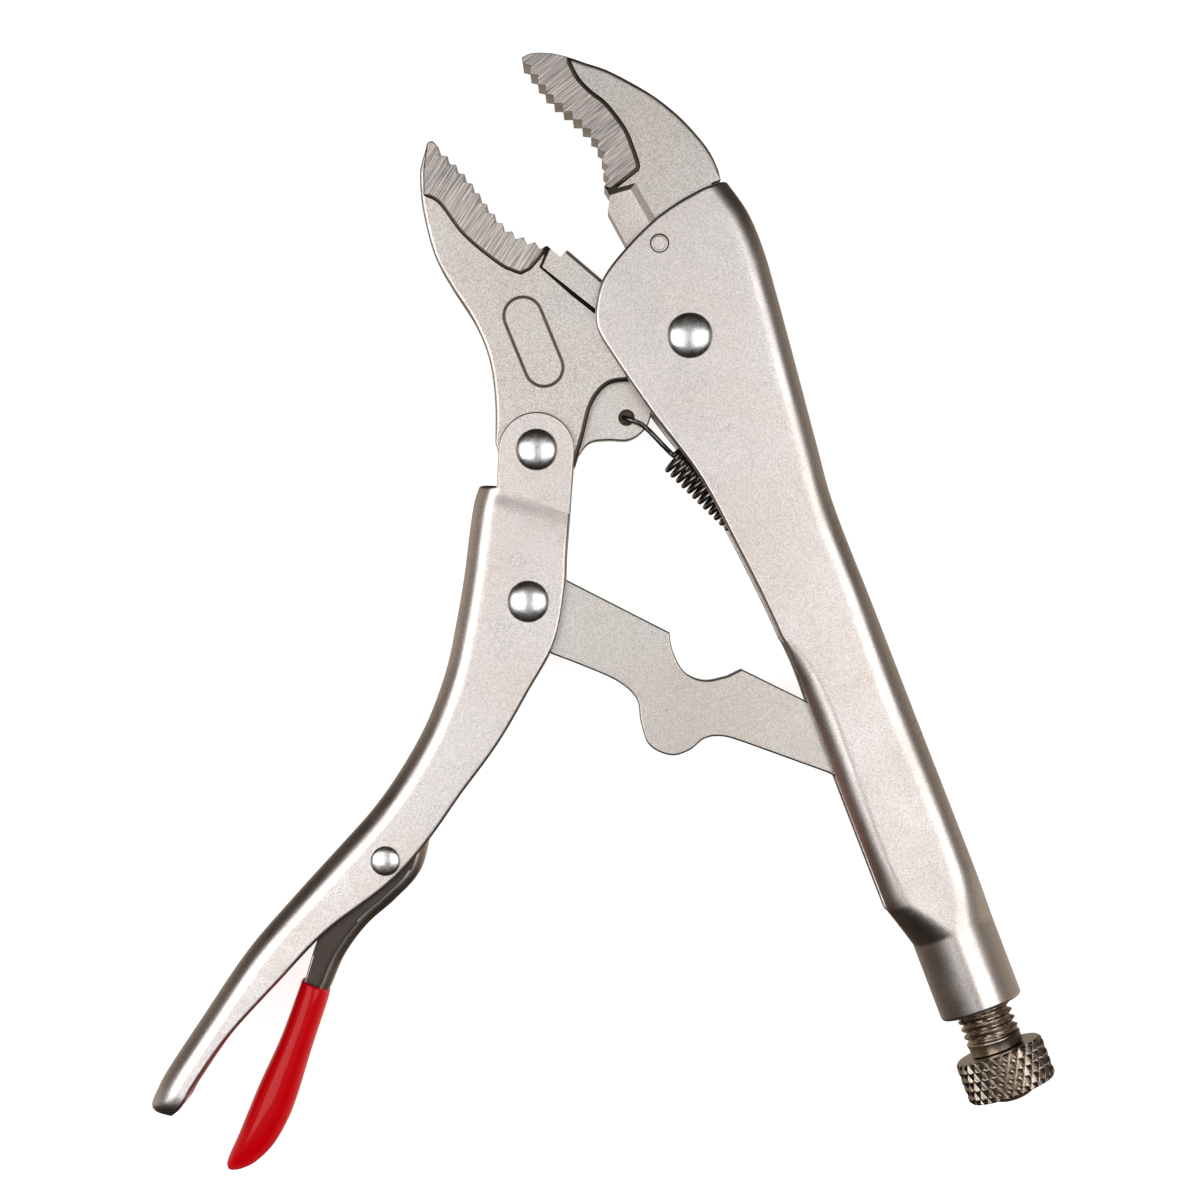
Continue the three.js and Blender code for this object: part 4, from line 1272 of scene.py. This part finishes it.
class PLIERS_OT_rivets(bpy.types.Operator):
    """Polished domed rivets of the four pivots"""
    bl_idname = "pliers.rivets"
    bl_label = "Rivets"

    def execute(self, context):
        group = rivet_tree()
        for node, (body, place, (x, y)) in RIVETS.items():
            low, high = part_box(node)
            head = (high.x - low.x) / 2 / MM
            dome = head * 0.39
            half = (high.z - low.z) / 2 / MM
            rivet = grown(
                node.replace("rivet", "rivet_heads"), group, place @ Matrix.Translation((x, y, 0)), chrome(),
                Head_Radius=head, Dome=dome, Grip=half - dome,
            )
            kept(rivet, node, body, "polished_rivet")
        return {"FINISHED"}


# ---- Return spring ----

def wire_run(points, radius, sides=12):
    """Rings of a round wire along points."""
    path = [Vector(p) for p in points]
    rings = []
    across = None
    for i, point in enumerate(path):
        along = (path[min(i + 1, len(path) - 1)] - path[max(i - 1, 0)]).normalized()
        if across is None:
            across = along.orthogonal().normalized()
        across = (across - along * across.dot(along)).normalized()
        beside = along.cross(across)
        spokes = [across * math.cos(a) + beside * math.sin(a) for a in circle(sides)]
        rings.append([tuple(point + spoke * radius) for spoke in spokes])
    return rings


class PLIERS_OT_return_spring(bpy.types.Operator):
    """Coil spring between the moving jaw's tab and the inside of the fixed handle"""
    bl_idname = "pliers.return_spring"
    bl_label = "Return Spring"

    def execute(self, context):
        sizes = context.scene.pliers_screw
        wire = sizes.wire / MM
        hole = Vector((*TAB_HOLE, 0))
        anchor = Vector((10.2, -71.8, 0))
        across = Vector((hole.y - anchor.y, anchor.x - hole.x, 0)).normalized()
        start = hole + across * 1.3
        run = anchor - start
        span = run.length
        along = run.normalized()
        side = Vector((0, 0, 1))
        coil_radius = 3.6 - wire
        ends = 13.0
        body = span - 2 * ends
        turns = round(body / (sizes.coil_pitch / MM))
        turn = along.to_track_quat("Z", "X").to_matrix().to_4x4()
        place = TOOL @ Matrix.Translation(start + along * ends) @ turn
        coil = grown(
            "return_spring_coil", coil_tree(), place, spring_steel(),
            Coil_Radius=coil_radius, Wire_Radius=wire, Turns=float(turns), Length=body,
        )
        begin = start + along * ends + turn.to_3x3() @ Vector((coil_radius, 0, 0))
        finish = start + along * (ends + body) + turn.to_3x3() @ Vector((coil_radius, 0, 0))
        tab = TAB_HALF + wire + 0.1
        upper = curve([
            (hole.x - 0.6, hole.y + 0.9, -2.0), (hole.x - 0.3, hole.y + 0.2, 1.2),
            (hole.x + 0.3, hole.y - 0.5, tab),
            tuple(start + along * 4 + side * tab), tuple(start + along * 9.5 + side * 3.0),
            tuple(start + along * 12.3 + side * 2.2), tuple(begin),
        ], 6)
        lower = curve([
            tuple(finish), tuple(start + along * (span - ends + 2) + side * 2.0),
            tuple(start + along * (span - 4) + side * 2.1), tuple(start + along * (span - 1) + side * 1.9),
            tuple(anchor + side * 1.0), tuple(anchor - side * 1.2),
        ], 6)
        for name, path in (("upper", upper), ("lower", lower)):
            hook = add_piece(name, *skin(wire_run(path, wire)), TOOL, [spring_steel()])
            joined(coil, hook)
        coil.name = "return_spring_wire"
        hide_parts("return_spring")
        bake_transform(coil)
        return {"FINISHED"}


def joined(piece, other):
    """Adds another piece's mesh to a piece."""
    whole = bmesh.new()
    whole.from_mesh(piece.data)
    whole.from_mesh(other.data)
    whole.to_mesh(piece.data)
    whole.free()
    bpy.data.objects.remove(other)
    return piece


# ---- Moving handle ----

class PLIERS_OT_moving_handle(bpy.types.Operator):
    """Folded moving handle, set in towards the link below its two ears"""
    bl_idname = "pliers.moving_handle"
    bl_label = "Moving Handle"

    def execute(self, context):
        sizes = context.scene.pliers_sheet
        sheet = sizes.handle_sheet / MM
        ear = top_of("moving_handle")
        waist = 7.5
        rows = [
            ((-11.8, -8.2), (7.9, -8.2), ear),
            ((-12.2, -9.2), (7.9, -12), ear - 0.1),
            ((-13, -12.6), (7.8, -16.5), waist + 0.6),
            ((-13.6, -19), (7.7, -22), waist + 0.15),
            ((-14.2, -28), (7.7, -30), waist),
            ((-15.4, -38.5), (6.1, -41.2), waist),
            ((-17, -48.5), (0.8, -52.4), waist),
            ((-20.3, -59.4), (-5, -63.8), waist),
            ((-25, -69.4), (-12.4, -75.2), waist),
            ((-30.8, -78.8), (-18.8, -85.4), waist),
            ((-37.6, -87.4), (-26.6, -95), waist),
            ((-47.6, -99.7), (-39.4, -106), waist),
            ((-56.5, -111.4), (-48.8, -117), waist),
            ((-65.3, -126.1), (-59.2, -129.8), waist),
            ((-72, -137.6), (-65.9, -140.6), waist),
            ((-74.2, -142.4), (-67.6, -144.0), waist),
            ((-75.2, -145.2), (-68.9, -146.0), waist - 0.6),
            ((-75.0, -147.0), (-70.6, -147.6), waist - 2.0),
        ]
        bend = sizes.handle_bend / MM
        line = curve([(*s, *e, h) for s, e, h in rows], [8, 10] + [9] * 13 + [10, 16])
        stations = []
        for sx, sy, ex, ey, half in line:
            half = min(half, ear)
            depth = math.hypot(ex - sx, ey - sy)
            stations.append((sx, sy, ex, ey, half, min(bend, depth - 0.4), 3.0, half - sheet / 2))
        middles = [((sx + ex) / 2, (sy + ey) / 2) for sx, sy, ex, ey, *_ in stations]
        to_end = [0.0]
        for (ax, ay), (bx, by) in zip(middles[::-1], middles[-2::-1]):
            to_end.append(to_end[-1] + math.hypot(bx - ax, by - ay))
        to_end.reverse()
        top = stations[0][1]

        def gap_at(index, x, y, turn, left):
            """How far a point of the sheet lies from the nearest cut edge."""
            near = min(left, to_end[index])
            return min(near, top - y) if turn > 0.3 else near

        rings = channel_rings(stations, sheet, sizes.outer_round / MM, sizes.inner_round / MM, gap_at, 40)
        handle = add_piece("moving_handle_body", *skin(rings), HANDLE, [plated("handle_plate")], SHEET_SHARP)
        radius = 8.1
        ear_outline = (
            eased([(-radius, -8.6), (radius - 0.3, -13.4)], 0.02)
            + eased([(radius - 0.25, -12.6)], 0.3)
            + eased(arc((0, 0), radius, 0, 180, 4), 0.35)
            + eased([(-radius, -7.9)], 0.3)
        )
        for sign in (-1, 1):
            low, high = sorted((sign * (ear - sheet), sign * (ear + 0.02)))
            joined(handle, plate("ear", ear_outline, low, high, HANDLE, [plated("handle_plate")]))
        weighted(handle, SHEET_SHARP)
        kept(handle, "moving_handle", "handle", "satin_nickel")
        return {"FINISHED"}


# ---- Toggle link ----

class PLIERS_OT_toggle_link(bpy.types.Operator):
    """Toggle link with its waist for the fingers"""
    bl_idname = "pliers.toggle_link"
    bl_label = "Toggle Link"

    def execute(self, context):
        low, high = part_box("toggle_link")
        half = (high.z - low.z) / 2 / MM
        tail = -(TOOL @ Vector((*LINK_TAIL, 0)) - joint_point("link_pivot")).length / MM
        outer = [
            (-8, -9.6), (-7.4, -16.2), (-7.1, -24.8), (-8.8, -30.2), (-13, -33.3), (-16.5, -37),
            (-16.5, -42), (-13.8, -45.2), (-9.9, -47.2), (-7.8, -50.6), (-7, -55.4),
        ]
        inner = [(4.3, -45.7), (1.3, -41.6), (1.1, -36.8), (4.2, -32.5), (7.3, -30.3)]
        outline = eased(
            arc((0, 0), 7.9, 0, 180) + curve(outer) + [(-5, tail + 13)]
            + arc((0, tail), 5.6, 185, 358) + [(6.9, tail + 24), (7, -47.8)] + curve(inner),
            0.45,
        )
        link = plate("toggle_link_plate", outline, -half, half, LINK, [plated("link_plate")])
        weighted(link)
        kept(link, "toggle_link", "link", "link_nickel")
        return {"FINISHED"}


# ---- Release lever and grip ----

class PLIERS_OT_release_lever(bpy.types.Operator):
    """Small folded release lever inside the moving handle"""
    bl_idname = "pliers.release_lever"
    bl_label = "Release Lever"

    def execute(self, context):
        sizes = context.scene.pliers_sheet
        sheet = sizes.lever_sheet / MM
        low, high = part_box("release_lever")
        half = (high.z - low.z) / 2 / MM
        rows = [
            ((-18.6, -73.8), (-22.6, -74.6), 1),
            ((-17.9, -77), (-27, -80), 0),
            ((-18.6, -84.4), (-31, -87), 0),
            ((-20.3, -92.2), (-34, -90), 0),
            ((-25.2, -98.4), (-35.6, -94.5), 0),
            ((-31, -104.2), (-38.6, -101.2), 0),
            ((-35.6, -111.2), (-41.6, -108.8), 0),
            ((-38.2, -118), (-43.4, -116), 0.2),
            ((-41, -124.5), (-45.4, -122.6), 0.4),
        ]
        line = curve([(*s, *e, half - less) for s, e, less in rows], 9)
        stations = []
        for sx, sy, ex, ey, width in line:
            depth = math.hypot(ex - sx, ey - sy)
            stations.append((sx, sy, ex, ey, width, min(2.6, depth - 0.5), 2.0, width - sheet / 2))
        top = stations[0]

        def gap_at(index, x, y, turn, left):
            """How far a point of the sheet lies from the nearest cut edge."""
            return min(left, math.hypot(x - top[0], y - top[1]) if index < 6 else left)

        rings = channel_rings(stations, sheet, 0.4, 0.2, gap_at, 20)
        # Painted shade: the lever's flat walls take the near-black plate, as they lie in shade inside the
        # handle; the bends keep the handle's plate.
        finishes = [plated("handle_plate"), plated("lever_plate")]
        lever = add_piece("release_lever_body", *skin(rings), HANDLE, finishes, SHEET_SHARP)
        for face in lever.data.polygons:
            if abs(face.normal.z) > 0.97:
                face.material_index = 1
        weighted(lever, SHEET_SHARP)
        kept(lever, "release_lever", "lever", "satin_nickel")
        return {"FINISHED"}


SQUARENESS = 2.7       # of the grip's section: 2 is an oval, and more is squarer


class PLIERS_OT_lever_grip(bpy.types.Operator):
    """Dipped vinyl grip on the release lever, open at its upper end"""
    bl_idname = "pliers.lever_grip"
    bl_label = "Lever Grip"

    def execute(self, context):
        rows = [
            (-44.4, -116.8, -38.4, -118.9, 6.2),
            (-45.2, -119.6, -38.9, -121.8, 6.5),
            (-48.4, -129.9, -41.6, -131.8, 6.6),
            (-52.2, -139.6, -44.1, -142, 6.6),
            (-54.4, -145.8, -45.9, -147.6, 6.5),
            (-56.2, -151, -48.6, -153, 6.1),
            (-57.9, -155.4, -52, -156.8, 5.0),
            (-58.5, -157.6, -55, -158.6, 3.4),
            (-58.2, -158.8, -57, -159.1, 1.8),
        ]
        line = curve(rows, 8)
        wall, taper = 1.0, 0.7
        socket, mouth = 5.5, 0.3
        rim = [(0.5, 0.0), (0.18, 0.12), (0.0, 0.5)]
        rings = [self.section(line[0], wall + taper, socket), self.section(line[0], wall, mouth)]
        rings += [self.section(line[0], inset, shift) for inset, shift in rim]
        rings += [self.section(row, 0.0, 0.0) for row in line[2:]]
        grip = add_piece("lever_grip_sleeve", *skin(rings), HANDLE, [red_vinyl()], 60)
        kept(grip, "release_lever_grip", "lever", "red_vinyl")
        return {"FINISHED"}

    def section(self, row, inset, shift):
        """A rounded section, drawn in by an inset and moved along the grip."""
        lx, ly, rx, ry, half = row
        width = math.hypot(rx - lx, ry - ly)
        across = Vector(((rx - lx) / width, (ry - ly) / width))
        down = Vector((across.y, -across.x))
        if down.y > 0:
            down = -down
        centre = Vector(((lx + rx) / 2, (ly + ry) / 2)) + down * shift
        points = []
        for a in circle(72):
            c, s = math.cos(a), math.sin(a)
            size = (abs(c) ** SQUARENESS + abs(s) ** SQUARENESS) ** (-1 / SQUARENESS)
            reach = c * size * (width / 2 - inset)
            height = s * size * (half - inset)
            points.append((centre.x + across.x * reach, centre.y + across.y * reach, height))
        return points


# ---- Adjusting screw and knob ----

def along_screw(node):
    """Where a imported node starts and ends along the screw, in millimetres."""
    low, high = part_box(node)
    origin = joint_point("knob_turn").y
    return (origin - high.y) / MM, (origin - low.y) / MM


def lathed(name, profile, material, sides=96):
    """A turned piece along the screw from a profile of (radius, run)."""
    rings = [[(r * math.cos(a), r * math.sin(a), z) for a in circle(sides)] for r, z in profile]
    return add_piece(name, *skin(rings), SCREW, [material])


class PLIERS_OT_adjusting_screw(bpy.types.Operator):
    """Threaded adjusting screw with its plain neck and domed end"""
    bl_idname = "pliers.adjusting_screw"
    bl_label = "Adjusting Screw"

    def execute(self, context):
        sizes = context.scene.pliers_screw
        low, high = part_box("adjusting_screw")
        radius = (high.z - low.z) / 2 / MM
        tip, end = along_screw("adjusting_screw")
        face, far = along_screw("adjusting_knob")
        runout = face - 2.4
        depth = sizes.thread_depth / MM
        thread = grown(
            "adjusting_screw_rod", thread_tree(),
            SCREW @ Matrix.Translation((0, 0, tip + 0.6)), dark_nickel(),
            Radius=radius, Depth=depth, Pitch=sizes.thread_pitch / MM, Length=runout - tip - 0.6, Rows=420,
        )
        spigot = radius - 0.8
        front = [(0.01, tip), (radius - 1.6, tip), (radius - depth, tip + 0.6)]
        front = lathed("front", front, dark_nickel())
        neck = [
            (radius, runout), (radius - 0.15, runout + 0.25), (radius - 0.2, face - 0.3),
            (spigot, face + 0.2),
        ]
        neck = lathed("neck", neck, dark_nickel())
        dome = [(spigot, far - 0.6)]
        dome += [
            (max(0.01, spigot * math.cos(a)), far + (end - far) * math.sin(a))
            for a in (math.pi / 2 * i / 10 for i in range(11))
        ]
        dome = lathed("dome", dome, plated("rod_end_steel"))
        for part in (front, neck, dome):
            joined_with_finish(thread, part)
        kept(thread, "adjusting_screw", "screw", "screw_nickel")
        return {"FINISHED"}


def joined_with_finish(piece, other):
    """Adds another piece's mesh to a piece and keeps its finish."""
    material = other.data.materials[0]
    slots = [m.name for m in piece.data.materials]
    if material.name not in slots:
        piece.data.materials.append(material)
        slots.append(material.name)
    index = slots.index(material.name)
    other.data.polygons.foreach_set("material_index", [index] * len(other.data.polygons))
    return joined(piece, other)


class PLIERS_OT_adjusting_knob(bpy.types.Operator):
    """Knurled knob of the adjusting screw"""
    bl_idname = "pliers.adjusting_knob"
    bl_label = "Adjusting Knob"

    def execute(self, context):
        sizes = context.scene.pliers_screw
        low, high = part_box("adjusting_knob")
        radius = (high.z - low.z) / 2 / MM
        face, far = along_screw("adjusting_knob")
        chamfer = 0.6
        knurl = grown(
            "adjusting_knob_body", knurl_tree(), SCREW @ Matrix.Translation((0, 0, face)), dark_nickel(),
            Radius=radius, Depth=sizes.knurl_depth / MM, Length=far - face, Starts=float(sizes.knurl_starts),
            Chamfer=chamfer,
        )
        bore = 5.5
        rim = radius - chamfer
        for name, profile in (
            ("near", [(rim, face), (bore + 0.4, face), (bore, face + 0.4), (bore, (face + far) / 2)]),
            ("far", [(bore, (face + far) / 2), (bore, far - 0.4), (bore + 0.4, far), (rim, far)]),
        ):
            rings = [[(r * math.cos(a), r * math.sin(a), z) for a in circle(432)] for r, z in profile]
            joined_with_finish(knurl, add_piece(name, *skin(rings, ends=False), SCREW, [dark_nickel()]))
        finished(knurl.data, 35)
        kept(knurl, "adjusting_knob", "knob", "screw_nickel")
        return {"FINISHED"}


# ---- Stage ----

CAMERA_TURN = -20.9       # degrees, which sets how the tool leans in the view

# Tones of the sky from straight down (0) to straight up (1), and their fall towards the two dark sides.
SKY_BY_HEIGHT = (
    (0.0, (0.55, 0.49, 0.42)), (0.4, (0.5, 0.44, 0.38)), (0.52, (0.42, 0.36, 0.3)),
    (0.62, (0.3, 0.27, 0.24)), (0.85, (0.3, 0.29, 0.28)), (1.0, (0.34, 0.34, 0.34)),
)
SKY_BY_SIDE = (
    (0.0, (1, 1, 1)), (0.22, (0.7, 0.68, 0.65)), (0.5, (0.1, 0.085, 0.07)), (1.0, (0.04, 0.034, 0.03)),
)
EYE_HEIGHT = 0.7          # metres above the mid-plane
LENS = 96.8
VIEW_CENTRE = (0.0348, 0.0089)
FLOOR_REACH = 3.0
FLOOR_DROP = 0.0002       # so that the floor never shares a plane with a piece

# The softboxes: how far to the right of the view's centre, and the power.
SOFTBOXES = {"softbox_left": (-0.5, 3.3), "softbox_right": (0.5, 2.8)}
SOFTBOX_HEIGHT = 0.95
SOFTBOX_SIZE = (0.62, 0.8)


def softbox(name, across, power, target):
    """A soft rectangular light that faces a point, placed in the camera's axes."""
    light = bpy.data.lights.new(name, "AREA")
    light.shape = "RECTANGLE"
    light.size, light.size_y = SOFTBOX_SIZE
    light.energy = power
    lamp = bpy.data.objects.new(name, light)
    place = Matrix.Rotation(math.radians(CAMERA_TURN), 4, "Z") @ Vector((across, 0.02, 0))
    lamp.location = target + place + Vector((0, 0, SOFTBOX_HEIGHT))
    lamp.rotation_mode = "QUATERNION"
    lamp.rotation_quaternion = (target - lamp.location).to_track_quat("-Z", "Y")
    bpy.context.scene.collection.objects.link(lamp)
    return lamp


class PLIERS_OT_stage(bpy.types.Operator):
    """White floor, two softboxes, a sky with two dark sides and the camera straight above"""
    bl_idname = "pliers.stage"
    bl_label = "Stage"

    def execute(self, context):
        scene = context.scene
        scene.view_settings.view_transform = "Standard"
        mesh = bpy.data.meshes.new("floor")
        corners = ((-1, -1), (1, -1), (1, 1), (-1, 1))
        points = [(x * FLOOR_REACH, y * FLOOR_REACH, -FLOOR_DROP) for x, y in corners]
        mesh.from_pydata(points, [], [(0, 1, 2, 3)])
        floor = bpy.data.objects.new("floor", mesh)
        scene.collection.objects.link(floor)
        white = bpy.data.materials.new("floor_white")
        white.use_nodes = True
        shader = white.node_tree.nodes["Principled BSDF"]
        shader.inputs["Base Color"].default_value = (0.8, 0.8, 0.8, 1)
        shader.inputs["Roughness"].default_value = 1.0
        shader.inputs["Emission Color"].default_value = (1, 1, 1, 1)
        shader.inputs["Emission Strength"].default_value = 0.85
        mesh.materials.append(white)
        floor.visible_glossy = False

        centre = Vector((*VIEW_CENTRE, TOOL.translation.z))
        camera = bpy.data.cameras.new("camera")
        camera.sensor_width = 36
        camera.lens = LENS
        camera.clip_start, camera.clip_end = 0.01, 10
        eye = bpy.data.objects.new("camera", camera)
        eye.location = centre + Vector((0, 0, EYE_HEIGHT))
        eye.rotation_euler = (0, 0, math.radians(CAMERA_TURN))
        scene.collection.objects.link(eye)
        scene.camera = eye

        for name, (across, power) in SOFTBOXES.items():
            softbox(name, across, power, centre)

        world = bpy.data.worlds.new("studio")
        world.use_nodes = True
        scene.world = world
        nodes, links = world.node_tree.nodes, world.node_tree.links

        def linked(kind, source, **settings):
            """A node of the sky with its first input linked."""
            node = nodes.new(kind)
            for name, value in settings.items():
                setattr(node, name, value)
            links.new(source, node.inputs[0])
            return node

        def ramp(source, stops):
            """A colour ramp of (place, tone) stops."""
            node = linked("ShaderNodeValToRGB", source)
            while len(node.color_ramp.elements) < len(stops):
                node.color_ramp.elements.new(0.5)
            for element, (position, tone) in zip(node.color_ramp.elements, stops):
                element.position = position
                element.color = (*tone, 1)
            return node.outputs[0]

        place = nodes.new("ShaderNodeTexCoord")
        turned_sky = linked("ShaderNodeVectorRotate", place.outputs["Generated"], rotation_type="Z_AXIS")
        turned_sky.inputs["Angle"].default_value = math.radians(-CAMERA_TURN)
        parts = linked("ShaderNodeSeparateXYZ", turned_sky.outputs[0])
        height = linked("ShaderNodeMapRange", parts.outputs[2])
        height.inputs["From Min"].default_value = -1
        upward = linked("ShaderNodeMath", parts.outputs[1], operation="ABSOLUTE")
        level = ramp(height.outputs[0], SKY_BY_HEIGHT)
        side = ramp(upward.outputs[0], SKY_BY_SIDE)
        blend = nodes.new("ShaderNodeMix")
        blend.data_type = "RGBA"
        blend.blend_type = "MULTIPLY"
        blend.inputs["Factor"].default_value = 1.0
        links.new(level, blend.inputs[6])
        links.new(side, blend.inputs[7])
        links.new(blend.outputs[2], nodes["Background"].inputs["Color"])
        return {"FINISHED"}


# ---- Registration ----

PIECES = (
    PLIERS_OT_fixed_handle,
    PLIERS_OT_retaining_pin,
    PLIERS_OT_fixed_jaw,
    PLIERS_OT_moving_jaw,
    PLIERS_OT_rivets,
    PLIERS_OT_return_spring,
    PLIERS_OT_moving_handle,
    PLIERS_OT_toggle_link,
    PLIERS_OT_release_lever,
    PLIERS_OT_lever_grip,
    PLIERS_OT_adjusting_screw,
    PLIERS_OT_adjusting_knob,
    PLIERS_OT_stage,
)
GROUPS = {
    "pliers_sheet": PliersSheet,
    "pliers_jaws": PliersJaws,
    "pliers_screw": PliersScrew,
    "pliers_finishes": PliersFinishes,
}


class PLIERS_PT_panel(bpy.types.Panel):
    """Builds the pliers and shows their sizes"""
    bl_idname = "PLIERS_PT_panel"
    bl_label = "Locking Pliers"
    bl_space_type = "VIEW_3D"
    bl_region_type = "UI"
    bl_category = "Pliers"

    def draw(self, context):
        for name, group in GROUPS.items():
            box = self.layout.box()
            for prop in group.__annotations__:
                box.prop(getattr(context.scene, name), prop)
        for piece in PIECES:
            self.layout.operator(piece.bl_idname)


def register():
    """Registers the classes and the property groups of the scene."""
    for item in (*GROUPS.values(), *PIECES, PLIERS_PT_panel):
        bpy.utils.register_class(item)
    for name, group in GROUPS.items():
        setattr(bpy.types.Scene, name, bpy.props.PointerProperty(type=group))


def unregister():
    """Takes the classes and the property groups away again."""
    for name in GROUPS:
        delattr(bpy.types.Scene, name)
    for item in reversed((*GROUPS.values(), *PIECES, PLIERS_PT_panel)):
        bpy.utils.unregister_class(item)


def main():
    """Builds every piece and the stage."""
    register()
    for piece in PIECES:
        group, name = piece.bl_idname.split(".")
        getattr(getattr(bpy.ops, group), name)()


if __name__ == "__main__":
    main()
